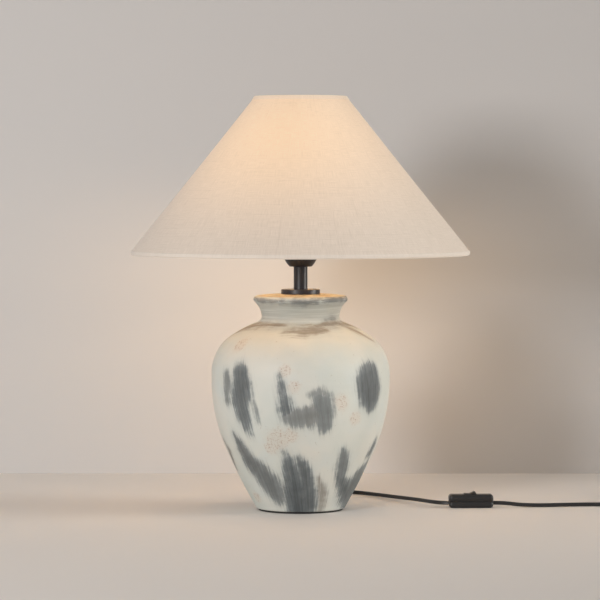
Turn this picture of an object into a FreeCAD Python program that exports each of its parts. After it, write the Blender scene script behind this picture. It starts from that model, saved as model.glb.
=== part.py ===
# Table lamp with shade: a glazed vase, a black metal stack with an E27 holder, a cone shade
# on a spider, and a mains lead with an inline rocker switch and a two-pin plug.
# Millimetres, +Z up, origin under the centre of the foot, cord leaving towards +Y.
import FreeCAD, Part
import math
import os
import Sketcher

os.makedirs("parts", exist_ok=True)
V = FreeCAD.Vector
doc = FreeCAD.newDocument("TableLamp")
sheet = doc.addObject("Spreadsheet::Sheet", "Dims")
pieces = []


class Size:
    """A length kept as its number and as the sheet formula that gives it."""

    def __init__(self, value, formula):
        self.value = value
        self.formula = formula

    def __add__(self, other):
        other = sized(other)
        return Size(self.value + other.value, f"({self.formula} + {other.formula})")

    def __sub__(self, other):
        other = sized(other)
        return Size(self.value - other.value, f"({self.formula} - {other.formula})")

    def __mul__(self, other):
        other = sized(other)
        return Size(self.value * other.value, f"({self.formula} * {other.formula})")

    def __truediv__(self, other):
        other = sized(other)
        return Size(self.value / other.value, f"({self.formula} / {other.formula})")

    def __neg__(self):
        return Size(-self.value, f"(0 - {self.formula})")

    def __rsub__(self, other):
        return sized(other) - self

    __radd__ = __add__
    __rmul__ = __mul__


def sized(value):
    """A Size as it is, or a plain number made one."""
    return value if isinstance(value, Size) else Size(float(value), f"({float(value):.9g})")


def root(size):
    return Size(math.sqrt(size.value), f"sqrt({size.formula})")


def dim(alias, value):
    """One driving dimension: a number in the sheet, under its own alias."""
    dim.row += 1
    sheet.set(f"A{dim.row}", alias.replace("_", " "))
    sheet.set(f"B{dim.row}", str(value))
    sheet.setAlias(f"B{dim.row}", alias)
    return Size(float(value), f"Dims.{alias}")


dim.row = 0

# ---- driving dimensions ----------------------------------------------------------------
clearance = dim("clearance", 0.3)
seat_gap = dim("seat_gap", 0.1)

# vase, from the table up: each rise is the height of one stretch of the outline
pad_thickness = dim("pad_thickness", 2.5)
pad_inset = dim("pad_inset", 2.5)
foot_radius = dim("foot_radius", 60.5)
heel_radius = dim("heel_radius", 62.6)
low_radius = dim("low_radius", 101.5)
belly_radius = dim("belly_radius", 122.5)
shoulder_radius = dim("shoulder_radius", 98)
crown_radius = dim("crown_radius", 60)
neck_radius = dim("neck_radius", 53.6)
lip_radius = dim("lip_radius", 62.5)
flat_top_radius = dim("flat_top_radius", 26)
foot_rise = dim("foot_rise", 3)
lower_rise = dim("lower_rise", 77.1)
upper_rise = dim("upper_rise", 97.4)
belly_band = dim("belly_band", 8)
shoulder_rise = dim("shoulder_rise", 50)
crown_rise = dim("crown_rise", 20.4)
collar_rise = dim("collar_rise", 6.6)
neck_rise = dim("neck_rise", 21)
lip_height = dim("lip_height", 8.3)
top_rise = dim("top_rise", 2.7)
vase_wall = dim("vase_wall", 6)
vase_floor = dim("vase_floor", 6)
vase_top_wall = dim("vase_top_wall", 7)
access_radius = dim("access_radius", 25)

# lead and its bush in the back of the vase
cord_radius = dim("cord_radius", 2.7)
core_radius = dim("core_radius", 0.9)
cord_exit_height = dim("cord_exit_height", 14)
bush_reach = dim("bush_reach", 96)
bush_neck_radius = dim("bush_neck_radius", 4.6)
bush_collar_radius = dim("bush_collar_radius", 7.5)
bush_collar_depth = dim("bush_collar_depth", 5)
bush_sleeve_radius = dim("bush_sleeve_radius", 5.6)
bush_tip_radius = dim("bush_tip_radius", 3.7)
bush_tail = dim("bush_tail", 4)

# threaded rod and what it clamps
rod_radius = dim("rod_radius", 5)
rod_bore_radius = dim("rod_bore_radius", 4.1)
rod_drop = dim("rod_drop", 29)
rod_engagement = dim("rod_engagement", 9.2)
nut_flats = dim("nut_flats", 17)
nut_height = dim("nut_height", 6)
washer_radius = dim("washer_radius", 22)
washer_thickness = dim("washer_thickness", 1.5)
rubber_radius = dim("rubber_radius", 20)
rubber_thickness = dim("rubber_thickness", 2.5)

# black metal stack
disc_radius = dim("disc_radius", 26.7)
disc_thickness = dim("disc_thickness", 5.5)
disc_edge = dim("disc_edge", 1.8)
stem_radius = dim("stem_radius", 9.5)
stem_wall = dim("stem_wall", 1)
stem_length = dim("stem_length", 32.3)
cup_radius = dim("cup_radius", 22.5)
cup_foot_radius = dim("cup_foot_radius", 13.5)
cup_bowl_rise = dim("cup_bowl_rise", 11.8)
cup_height = dim("cup_height", 28)
cup_wall = dim("cup_wall", 1)

# lamp holder
hub_radius = dim("hub_radius", 8)
hub_height = dim("hub_height", 10)
cap_radius = dim("cap_radius", 19.5)
cap_wall = dim("cap_wall", 1.8)
cap_floor = dim("cap_floor", 2)
cap_depth = dim("cap_depth", 15.2)
block_radius = dim("block_radius", 16.5)
block_skirt_rise = dim("block_skirt_rise", 3.2)
block_skirt_wall = dim("block_skirt_wall", 3)
block_thickness = dim("block_thickness", 5)
contact_thickness = dim("contact_thickness", 0.6)
contact_width = dim("contact_width", 5)
button_radius = dim("button_radius", 2.6)
button_rise = dim("button_rise", 1.8)
live_screw_offset = dim("live_screw_offset", 9.5)
side_screw_offset = dim("side_screw_offset", 7)
terminal_head_radius = dim("terminal_head_radius", 2)
terminal_head_height = dim("terminal_head_height", 1.4)
terminal_shank_radius = dim("terminal_shank_radius", 1.1)
terminal_shank_length = dim("terminal_shank_length", 3.4)
shell_bore_radius = dim("shell_bore_radius", 13.6)
shell_thread_radius = dim("shell_thread_radius", 19.7)
shell_mouth_radius = dim("shell_mouth_radius", 16.8)
shell_flange_radius = dim("shell_flange_radius", 23)
shell_flange_thickness = dim("shell_flange_thickness", 4)
shell_thread_height = dim("shell_thread_height", 25)
shell_mouth_depth = dim("shell_mouth_depth", 6)

# shade ring, fitter and shade
ring_radius = dim("ring_radius", 26.5)
ring_flange = dim("ring_flange", 2)
ring_band_radius = dim("ring_band_radius", 23.4)
ring_height = dim("ring_height", 8)
ring_ribs = 24
rib_radius = dim("rib_radius", 0.7)
fitter_radius = dim("fitter_radius", 27)
fitter_thickness = dim("fitter_thickness", 2)
fitter_recess = dim("fitter_recess", 16)
arm_count = 3
wire_radius = dim("wire_radius", 1.6)
arm_radius = dim("arm_radius", 1.5)
shade_bottom_radius = dim("shade_bottom_radius", 232)
shade_top_radius = dim("shade_top_radius", 63)
shade_height = dim("shade_height", 211.7)
shade_wall = dim("shade_wall", 1.2)
hem_height = dim("hem_height", 5)
hem_wall = dim("hem_wall", 1)
hem_fold = dim("hem_fold", 0.8)
top_hem_height = dim("top_hem_height", 4.5)
top_hem_wall = dim("top_hem_wall", 0.4)
top_ring_drop = dim("top_ring_drop", 2.4)

# bulb
globe_radius = dim("globe_radius", 30)
globe_wall = dim("globe_wall", 1.5)
globe_seat_radius = dim("globe_seat_radius", 24)
bulb_cap_radius = dim("bulb_cap_radius", 13.2)
bulb_cap_wall = dim("bulb_cap_wall", 0.6)
bulb_cap_height = dim("bulb_cap_height", 22)
bulb_tip_radius = dim("bulb_tip_radius", 2.4)
bulb_tip_height = dim("bulb_tip_height", 5.6)
insulator_rise = dim("insulator_rise", 3.6)
bulb_neck_radius = dim("bulb_neck_radius", 15)
bulb_neck_rise = dim("bulb_neck_rise", 10)
bulb_flare_rise = dim("bulb_flare_rise", 17)
bulb_spigot = dim("bulb_spigot", 8)
board_thickness = dim("board_thickness", 1.6)
board_radius = dim("board_radius", 22)
led_count = 8
led_radius = dim("led_radius", 1.6)
led_height = dim("led_height", 0.8)
led_circle_radius = dim("led_circle_radius", 15)

# inline rocker switch
switch_length = dim("switch_length", 61.4)
switch_width = dim("switch_width", 20)
switch_height = dim("switch_height", 18.6)
switch_split = dim("switch_split", 9)
switch_corner = dim("switch_corner", 3.4)
switch_edge = dim("switch_edge", 1.6)
switch_wall = dim("switch_wall", 1.8)
switch_entry_height = dim("switch_entry_height", 6.4)
cheek_thickness = dim("cheek_thickness", 2.4)
cheek_depth = dim("cheek_depth", 6)
rocker_offset = dim("rocker_offset", -1.2)
rocker_sweep_radius = dim("rocker_sweep_radius", 8.8)
rocker_width = dim("rocker_width", 10.4)
rocker_dip = dim("rocker_dip", 3.2)
rocker_foot_depth = dim("rocker_foot_depth", 4.4)
rocker_foot_half = dim("rocker_foot_half", 2)
pivot_depth = dim("pivot_depth", 2.2)
pin_radius = dim("pin_radius", 1.2)
pin_length = dim("pin_length", 1.9)
pin_clearance = dim("pin_clearance", 0.15)
screw_offset = dim("screw_offset", 23)
screw_radius = dim("screw_radius", 1.5)
screw_head_radius = dim("screw_head_radius", 2.8)
screw_head_height = dim("screw_head_height", 2)
screw_length = dim("screw_length", 12)
post_radius = dim("post_radius", 3.2)
strip_thickness = dim("strip_thickness", 0.8)
strip_width = dim("strip_width", 5)
strip_length = dim("strip_length", 11)
strip_gap = dim("strip_gap", 4)
strip_post_height = dim("strip_post_height", 3)

# two-pin plug
plug_width = dim("plug_width", 35.3)
plug_waist = dim("plug_waist", 13)
plug_thickness = dim("plug_thickness", 13.7)
plug_depth = dim("plug_depth", 34)
plug_shoulder = dim("plug_shoulder", 10)
plug_edge = dim("plug_edge", 2.4)
plug_sleeve = dim("plug_sleeve", 22)
plug_sleeve_radius = dim("plug_sleeve_radius", 5.6)
plug_sleeve_tip_radius = dim("plug_sleeve_tip_radius", 3.7)
plug_pin_radius = dim("plug_pin_radius", 2)
plug_pin_spacing = dim("plug_pin_spacing", 18.6)
plug_pin_reach = dim("plug_pin_reach", 19)
pin_sleeve_length = dim("pin_sleeve_length", 10)
pin_sleeve_wall = dim("pin_sleeve_wall", 0.5)
pin_root = dim("pin_root", 9)

# tied coil of spare lead
coil_radius = dim("coil_radius", 32)
coil_width = dim("coil_width", 11.6)
coil_height = dim("coil_height", 11.6)
coil_edge = dim("coil_edge", 2.5)
tie_thickness = dim("tie_thickness", 0.5)
tie_width = dim("tie_width", 8)

# shape numbers: bulges of arcs (rise over half the chord), angles and places
CURVE_LOW, CURVE_BELLY, CURVE_SHOULDER, CURVE_CROWN = 0.025, 0.107, 0.232, 0.070
CURVE_HEEL, CURVE_COLLAR, CURVE_NECK, CURVE_LIP, CURVE_TOP = 0.25, -0.22, -0.205, 0.62, 0.05
CURVE_CUP, CURVE_ROUND, CURVE_BULB = 0.22, 0.414, -0.12
ROCKER_CORNER_ANGLE = 35.2
ROCKER_TILT = 11.5
SWITCH_CENTRE, SWITCH_YAW = V(236, 20.6, 0), 2.5
COIL_CENTRE = V(478, 70, 0)
TIE_ANGLE = 150
PLUG_ENTRY = V(500, 134, 0)
ARC_SHARE = 0.45

# ---- heights worked out from the rises --------------------------------------------------
heel_z = pad_thickness + foot_rise
low_z = heel_z + lower_rise
belly_z = low_z + upper_rise
band_z = belly_z + belly_band
shoulder_z = band_z + shoulder_rise
crown_z = shoulder_z + crown_rise
neck_z = crown_z + collar_rise
lip_z = neck_z + neck_rise
edge_z = lip_z + lip_height
top_z = edge_z + top_rise
ceiling_z = top_z - vase_top_wall
disc_z = top_z + disc_thickness
cup_z = disc_z + stem_length
seat_z = cup_z + cup_wall
cap_floor_z = seat_z + hub_height
cap_inner_z = cap_floor_z + cap_floor
flange_z = cap_inner_z + cap_depth
fitter_z = flange_z + shell_flange_thickness
ring_z = fitter_z + fitter_thickness + seat_gap * 2
thread_top_z = fitter_z + shell_thread_height
block_z = cap_inner_z + block_skirt_rise
block_top_z = block_z + block_thickness
contact_z = block_top_z + contact_thickness
tip_z = contact_z + button_rise
bulb_cap_z = tip_z + insulator_rise
bulb_neck_z = bulb_cap_z + bulb_cap_height
globe_seat_z = bulb_neck_z + bulb_neck_rise + bulb_flare_rise
hem_z = fitter_z - fitter_recess
shade_z = hem_z + hem_height
shade_top_z = shade_z + shade_height
switch_pivot_z = switch_height - pivot_depth


# ---- ways of making a piece -------------------------------------------------------------
def keep(obj, label, placement=None):
    """Names a finished piece, puts it in its place and lists it for the export."""
    obj.Label = label
    if placement:
        obj.Placement = placement
    pieces.append(obj)
    return obj


def bind(obj, prop, size):
    obj.setExpression(prop, sized(size).formula)


def place(obj, at, turn=None):
    """Puts an object at bound coordinates, turned first if a rotation is given."""
    obj.Placement = FreeCAD.Placement(V(), turn or FreeCAD.Rotation())
    for axis, size in zip("xyz", at):
        bind(obj, f".Placement.Base.{axis}", size)
    return obj


ALONG_X = FreeCAD.Rotation(V(0, 1, 0), 90)
ALONG_Y = FreeCAD.Rotation(V(1, 0, 0), -90)


def cylinder(name, radius, height, at=(0, 0, 0), turn=None):
    obj = doc.addObject("Part::Cylinder", name)
    bind(obj, "Radius", radius)
    bind(obj, "Height", height)
    return place(obj, at, turn)


def cone(name, radius, end_radius, height, at=(0, 0, 0), turn=None):
    obj = doc.addObject("Part::Cone", name)
    bind(obj, "Radius1", radius)
    bind(obj, "Radius2", end_radius)
    bind(obj, "Height", height)
    return place(obj, at, turn)


def box(name, length, width, height, at):
    """A block centred in X and Y on the point that its underside stands at."""
    obj = doc.addObject("Part::Box", name)
    bind(obj, "Length", length)
    bind(obj, "Width", width)
    bind(obj, "Height", height)
    x, y, z = at
    return place(obj, (sized(x) - sized(length) / 2, sized(y) - sized(width) / 2, z))


def torus(name, radius, wire, z):
    obj = doc.addObject("Part::Torus", name)
    bind(obj, "Radius1", radius)
    bind(obj, "Radius2", wire)
    return place(obj, (0, 0, z))


def cut(name, base, tool):
    obj = doc.addObject("Part::Cut", name)
    obj.Base, obj.Tool = base, tool
    return obj


def fuse(name, *parts):
    obj = doc.addObject("Part::MultiFuse", name)
    obj.Shapes = list(parts)
    return obj


def group(name, *parts):
    obj = doc.addObject("Part::Compound", name)
    obj.Links = list(parts)
    return obj


def draw(sketch, outline):
    """Draws a closed outline of (x, y) or (x, y, bulge) points, each held by its formula."""
    corners = [(sized(p[0]), sized(p[1]), p[2] if len(p) > 2 else 0) for p in outline]
    ends, holds = [], []
    for i, (x, y, bulge) in enumerate(corners):
        next_x, next_y, _ = corners[(i + 1) % len(corners)]
        start, end = V(x.value, y.value, 0), V(next_x.value, next_y.value, 0)
        if not bulge:
            side = sketch.addGeometry(Part.LineSegment(start, end))
            ends.append((side, 1, 2))
            continue
        mid_x = (x + next_x) / 2 + (next_y - y) * (bulge / 2)
        mid_y = (y + next_y) / 2 - (next_x - x) * (bulge / 2)
        middle = V(mid_x.value, mid_y.value, 0)
        side = sketch.addGeometry(Part.Arc(start, middle, end))
        mark = sketch.addGeometry(Part.Point(middle), True)
        ends.append((side, 1, 2) if bulge > 0 else (side, 2, 1))
        holds.append((mark, side, mid_x, mid_y))
    for (side, first, last), (after, after_first, _) in zip(ends, ends[1:] + ends[:1]):
        sketch.addConstraint(Sketcher.Constraint("Coincident", side, last, after, after_first))
    for (side, first, _), (x, y, _) in zip(ends, corners):
        hold(sketch, side, first, x, y)
    for mark, side, x, y in holds:
        sketch.addConstraint(Sketcher.Constraint("PointOnObject", mark, 1, side))
        hold(sketch, mark, 1, x, y)


def hold(sketch, side, end, x, y):
    """Ties one point of a sketch to its two formulas."""
    for kind, axis, size in (("DistanceX", -2, x), ("DistanceY", -1, y)):
        if abs(size.value) < 1e-9:
            sketch.addConstraint(Sketcher.Constraint("PointOnObject", side, end, axis))
            continue
        tie = sketch.addConstraint(Sketcher.Constraint(kind, -1, 1, side, end, size.value))
        sketch.setExpression(f"Constraints[{tie}]", size.formula)


def sketched(name, outline, role):
    """A body with one sketch on the origin plane of the given role."""
    body = doc.addObject("PartDesign::Body", name)
    sketch = body.newObject("Sketcher::SketchObject", name + "_outline")
    plane = next(f for f in body.Origin.OriginFeatures if f.Role == role)
    sketch.AttachmentSupport = [(plane, "")]
    sketch.MapMode = "FlatFace"
    draw(sketch, outline)
    return body, sketch


def turned(name, outline):
    """A body turned about the Z axis from (radius, height) points."""
    body, sketch = sketched(name, outline, "XZ_Plane")
    turn = body.newObject("PartDesign::Revolution", name + "_turn")
    turn.Profile = sketch
    turn.ReferenceAxis = (sketch, ["V_Axis"])
    turn.Angle = 360
    return body


def washer(name, outer, inner, z, thickness):
    return turned(name, [(inner, z), (outer, z), (outer, z + thickness), (inner, z + thickness)])


def padded(name, outline, thickness, role="XY_Plane"):
    """A body padded to both sides of an origin plane's sketch, or up from the XY plane."""
    body, sketch = sketched(name, outline, role)
    pad = body.newObject("PartDesign::Pad", name + "_pad")
    pad.Profile = sketch
    bind(pad, "Length", thickness)
    pad.Midplane = role != "XY_Plane"
    return body


def rounded(body, radius, test):
    """Rounds the edges of a body that the test picks by their middle point and direction."""
    doc.recompute()
    base = body.Tip
    names = []
    for i, edge in enumerate(base.Shape.Edges, 1):
        middle = edge.valueAt((edge.FirstParameter + edge.LastParameter) / 2)
        if test(middle, edge.tangentAt(edge.FirstParameter)):
            names.append(f"Edge{i}")
    fillet = body.newObject("PartDesign::Fillet", f"{body.Name}_round{len(body.Group)}")
    fillet.Base = (base, names)
    bind(fillet, "Radius", radius)
    return body


def around(count, make):
    """Copies of one placed solid about the Z axis: make(name suffix, rotation) builds each."""
    return [make(k, FreeCAD.Rotation(V(0, 0, 1), 360 * k / count)) for k in range(count)]


def route_tube(name, points, radius, closed_by=None):
    """A tube of straight runs joined by tangent arcs, each as large as its runs allow."""
    edges, start, bends = [], points[0], []
    for before, corner, after in zip(points, points[1:], points[2:]):
        arrive, leave = corner - before, after - corner
        setback = ARC_SHARE * min(arrive.Length, leave.Length)
        half = arrive.getAngle(leave) / 2
        bend = setback / math.tan(half)
        arrive.normalize()
        leave.normalize()
        inward = (leave - arrive).normalize()
        first, last = corner - arrive * setback, corner + leave * setback
        middle = corner + inward * (bend / math.cos(half) - bend)
        edges += [Part.LineSegment(start, first).toShape(), Part.Arc(first, middle, last).toShape()]
        bends.append(bend)
        start = last
    edges.append(Part.LineSegment(start, points[-1]).toShape())
    path = Part.Wire(edges)
    section = Part.Wire([Part.Circle(points[0], points[1] - points[0], radius).toShape()])
    solid = path.makePipeShell([section], True, False)
    even = solid.Volume / (math.pi * radius ** 2 * path.Length)
    print(f"{name}: length {path.Length:.1f}, volume over section x length {even:.4f},",
          "radii", " ".join(f"{bend:.0f}" for bend in bends))
    obj = doc.addObject("Part::Feature", name)
    obj.Shape = solid.cut(closed_by) if closed_by else solid
    return obj


# ---- vase, pad and bush -----------------------------------------------------------------
def inset(radius, z, run, rise):
    """A point one wall in from the outline, where the outline climbs by rise for each run."""
    length = math.hypot(run, rise)
    return radius - vase_wall * (rise / length), z + vase_wall * (run / length)


def vase():
    outer = turned("vase_outer", [
        (0, pad_thickness), (foot_radius, pad_thickness, CURVE_HEEL),
        (heel_radius, heel_z, CURVE_LOW), (low_radius, low_z, CURVE_BELLY),
        (belly_radius, belly_z), (belly_radius, band_z, CURVE_SHOULDER),
        (shoulder_radius, shoulder_z, CURVE_CROWN), (crown_radius, crown_z, CURVE_COLLAR),
        (neck_radius, neck_z, CURVE_NECK), (lip_radius, lip_z, CURVE_LIP),
        (lip_radius, edge_z, CURVE_TOP), (flat_top_radius, top_z), (0, top_z)])
    floor_z = pad_thickness + vase_floor
    bore = neck_radius - vase_wall
    cavity = turned("vase_cavity", [
        (0, floor_z), (heel_radius - vase_wall, floor_z, CURVE_LOW),
        (*inset(low_radius, low_z, 0.40, 0.92), CURVE_BELLY), inset(belly_radius, belly_z, 0, 1),
        (*inset(belly_radius, band_z, 0, 1), CURVE_SHOULDER),
        (*inset(shoulder_radius, shoulder_z, -0.78, 0.62), CURVE_CROWN),
        inset(crown_radius, crown_z, -0.88, 0.47), (bore, crown_z - vase_wall * 0.35),
        (bore, ceiling_z), (0, ceiling_z)])
    holes = fuse("vase_holes",
                 cylinder("rod_hole", rod_radius + clearance, vase_top_wall * 3, (0, 0, ceiling_z - vase_top_wall)),
                 cylinder("access_hole", access_radius, vase_floor * 3, (0, 0, pad_thickness - vase_floor)),
                 cylinder("cord_hole", bush_neck_radius + clearance, heel_radius * 2,
                          (0, 0, cord_exit_height), ALONG_Y))
    body = cut("vase_shell", cut("vase_hollow", outer, cavity), holes)
    keep(body, "vase_body")
    keep(washer("foot_pad", foot_radius - pad_inset, access_radius, 0, pad_thickness), "base_pad")
    return outer


def bush(vase_outer):
    collar_y = heel_radius + bush_collar_depth * 2 + clearance * 3
    neck_y = heel_radius - vase_wall - bush_tail
    collar = cut("bush_collar", cylinder("collar_blank", bush_collar_radius, collar_y - neck_y,
                                         (0, neck_y, cord_exit_height), ALONG_Y), vase_outer)
    neck = cylinder("bush_neck", bush_neck_radius, collar_y - neck_y,
                    (0, neck_y, cord_exit_height), ALONG_Y)
    sleeve = cone("bush_sleeve", bush_sleeve_radius, bush_tip_radius, bush_reach - collar_y,
                  (0, collar_y, cord_exit_height), ALONG_Y)
    bore = cylinder("bush_bore", cord_radius + seat_gap, bush_reach * 2,
                    (0, 0, cord_exit_height), ALONG_Y)
    keep(cut("bush_body", fuse("bush_solid", collar, neck, sleeve), bore), "cord_bush")


# ---- rod, nut, washers and the black metal stack ----------------------------------------
def rod_stack():
    rod_low = top_z - rod_drop
    rod_top = seat_z + rod_engagement
    keep(washer("rod", rod_radius, rod_bore_radius, rod_low, rod_top - rod_low), "threaded_rod")
    rubber_z = ceiling_z - rubber_thickness
    steel_z = rubber_z - washer_thickness
    nut_z = steel_z - nut_height
    hole = rod_radius + seat_gap
    keep(washer("rubber", rubber_radius, hole, rubber_z, rubber_thickness), "rubber_washer")
    keep(washer("steel", washer_radius, hole, steel_z, washer_thickness), "steel_washer")
    hexagon = doc.addObject("Part::Prism", "nut_hexagon")
    hexagon.Polygon = 6
    bind(hexagon, "Circumradius", nut_flats / root(sized(3)))
    bind(hexagon, "Height", nut_height)
    place(hexagon, (0, 0, nut_z))
    keep(cut("nut", hexagon, cylinder("nut_bore", hole, nut_height * 2, (0, 0, nut_z - nut_height / 2))),
         "rod_nut")


def metal_stack():
    hole = rod_radius + seat_gap
    edge = disc_radius - disc_edge
    keep(turned("disc", [
        (hole, top_z), (edge, top_z, CURVE_ROUND), (disc_radius, top_z + disc_edge),
        (disc_radius, disc_z - disc_edge, CURVE_ROUND), (edge, disc_z), (hole, disc_z)]), "neck_disc")
    keep(washer("stem", stem_radius, stem_radius - stem_wall, disc_z, stem_length), "stem_tube")
    bowl_z = cup_z + cup_bowl_rise
    rim_z = cup_z + cup_height
    inner = cup_radius - cup_wall
    keep(turned("cup", [
        (hole, cup_z), (cup_foot_radius, cup_z, CURVE_CUP), (cup_radius, bowl_z), (cup_radius, rim_z),
        (inner, rim_z), (inner, bowl_z, -CURVE_CUP), (cup_foot_radius - cup_wall / 2, seat_z),
        (hole, seat_z)]), "socket_cup")


# ---- lamp holder ------------------------------------------------------------------------
def holder():
    hole = rod_radius + seat_gap
    inner = cap_radius - cap_wall
    keep(turned("cap", [
        (hole, seat_z), (hub_radius, seat_z), (hub_radius, cap_floor_z - cap_wall),
        (cap_radius - cap_wall, cap_floor_z), (cap_radius, cap_inner_z), (cap_radius, flange_z),
        (inner, flange_z), (inner, cap_inner_z), (hole, cap_inner_z)]), "holder_cap")
    skirt = block_radius - block_skirt_wall
    disc = turned("block_disc", [
        (0, block_z), (skirt, block_z), (skirt, cap_inner_z), (block_radius, cap_inner_z),
        (block_radius, block_top_z), (0, block_top_z)])
    hole_radius = terminal_shank_radius + seat_gap
    holes = fuse("block_holes",
                 cylinder("live_hole", hole_radius, block_thickness * 3,
                          (-live_screw_offset, 0, block_z - block_thickness)),
                 cylinder("side_hole", hole_radius, block_thickness * 3,
                          (0, side_screw_offset, block_z - block_thickness)))
    keep(cut("block", disc, holes), "contact_block")
    contacts(hole_radius)
    thread_z = fitter_z
    spigot = inner - clearance + seat_gap
    keep(turned("shell", [
        (shell_bore_radius, block_top_z + seat_gap * 2), (spigot, block_top_z + seat_gap * 2),
        (spigot, flange_z), (shell_flange_radius, flange_z), (shell_flange_radius, thread_z),
        (shell_thread_radius, thread_z), (shell_thread_radius, thread_top_z),
        (shell_mouth_radius, thread_top_z), (shell_bore_radius, thread_top_z - shell_mouth_depth)]),
        "holder_shell")


def contacts(hole_radius):
    """The brass strips on the block: one under the bulb's tip, one at the cap's edge."""
    strip = live_screw_offset + button_radius * 2
    live = fuse("live_solid",
                box("live_strip", strip, contact_width, contact_thickness,
                    (button_radius - strip / 2, 0, block_top_z)),
                cylinder("live_button", button_radius, button_rise + contact_thickness / 2,
                         (0, 0, contact_z - contact_thickness / 2)))
    bolt_hole = cylinder("live_bolt_hole", hole_radius, contact_thickness * 4,
                         (-live_screw_offset, 0, block_top_z - contact_thickness))
    keep(cut("live_contact", live, bolt_hole), "centre_contact")
    start = contact_width / 2 + clearance * 3
    end = bulb_cap_radius - bulb_cap_wall
    blade = bulb_cap_wall * 2
    side = fuse("side_solid",
                box("side_strip", contact_width, end - start, contact_thickness,
                    (0, (start + end) / 2, block_top_z)),
                box("side_blade", contact_width, blade, bulb_cap_z - contact_thickness * 1.5 - block_top_z,
                    (0, end - blade / 2, block_top_z)))
    side_hole = cylinder("side_bolt_hole", hole_radius, contact_thickness * 4,
                         (0, side_screw_offset, block_top_z - contact_thickness))
    keep(cut("side_brass", side, side_hole), "side_contact")
    screws = []
    for name, x, y in (("live", -live_screw_offset, 0), ("side", 0, side_screw_offset)):
        screws.append(fuse(name + "_screw",
                           cylinder(name + "_head", terminal_head_radius, terminal_head_height,
                                    (x, y, contact_z)),
                           cylinder(name + "_shank", terminal_shank_radius, terminal_shank_length,
                                    (x, y, contact_z - terminal_shank_length))))
    keep(group("screw_pair", *screws), "terminal_screws")


# ---- shade ------------------------------------------------------------------------------
def shade():
    slope = (shade_bottom_radius - shade_top_radius) / shade_height
    lean = root(slope * slope + 1)
    across = shade_wall * lean
    keep(turned("cover", [
        (shade_bottom_radius - across, shade_z), (shade_bottom_radius, shade_z),
        (shade_top_radius, shade_top_z), (shade_top_radius - across, shade_top_z)]), "shade_cover")

    ring_z_low = hem_z + hem_fold + seat_gap * 2 + wire_radius
    low_ring = shade_bottom_radius - hem_wall - seat_gap - wire_radius
    fold = low_ring - wire_radius - clearance
    keep(turned("hem", [
        (fold - hem_fold, hem_z), (shade_bottom_radius, hem_z), (shade_bottom_radius, shade_z),
        (shade_bottom_radius - hem_wall, shade_z), (shade_bottom_radius - hem_wall, hem_z + hem_fold),
        (fold, hem_z + hem_fold), (fold, shade_z - hem_wall), (fold - hem_fold, shade_z - hem_wall)]),
        "bottom_hem")
    keep(torus("low_wire", low_ring, wire_radius, ring_z_low), "bottom_ring")

    top_ring = shade_top_radius + slope * top_ring_drop - (shade_wall + wire_radius + clearance) * lean
    keep(torus("high_wire", top_ring, wire_radius, shade_top_z - top_ring_drop), "top_ring")
    brim = shade_top_radius + slope * top_hem_height
    keep(turned("high_hem", [
        (brim, shade_top_z - top_hem_height), (brim + top_hem_wall, shade_top_z - top_hem_height),
        (shade_top_radius + top_hem_wall, shade_top_z + top_hem_wall),
        (shade_top_radius - across, shade_top_z + top_hem_wall),
        (shade_top_radius - across, shade_top_z), (shade_top_radius, shade_top_z)]), "top_hem")

    hole = shell_thread_radius + clearance * 2
    keep(washer("fitter", fitter_radius, hole, fitter_z, fitter_thickness), "fitter_ring")
    arm_z = fitter_z + fitter_thickness / 2
    arm_end_z = ring_z_low + wire_radius + arm_radius + seat_gap
    start, end = fitter_radius + seat_gap, low_ring - clearance * 2
    run, fall = end - start, arm_z - arm_end_z
    tilt = 90 + math.degrees(math.atan2(fall.value, run.value))

    def arm(k, spin):
        turn = spin.multiply(FreeCAD.Rotation(V(0, 1, 0), tilt))
        way = spin.multVec(V(1, 0, 0))
        return cylinder(f"arm_{k}", arm_radius, root(run * run + fall * fall),
                        (start * way.x, start * way.y, arm_z), turn)

    keep(group("arms", *around(arm_count, arm)), "spider_arms")


def shade_ring():
    """The threaded ring that clamps the fitter on the holder, ribbed for the fingers."""
    bore = shell_thread_radius + clearance
    flange_top = ring_z + ring_flange
    blank = turned("ring_blank", [
        (bore, ring_z), (ring_radius, ring_z), (ring_radius, flange_top),
        (ring_band_radius, flange_top), (ring_band_radius, ring_z + ring_height),
        (bore, ring_z + ring_height)])

    def rib(k, spin):
        way = spin.multVec(V(1, 0, 0))
        return cylinder(f"rib_{k}", rib_radius, ring_height - ring_flange,
                        (ring_band_radius * way.x, ring_band_radius * way.y, flange_top))

    keep(fuse("ring_ribbed", blank, *around(ring_ribs, rib)), "shade_ring")


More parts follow.
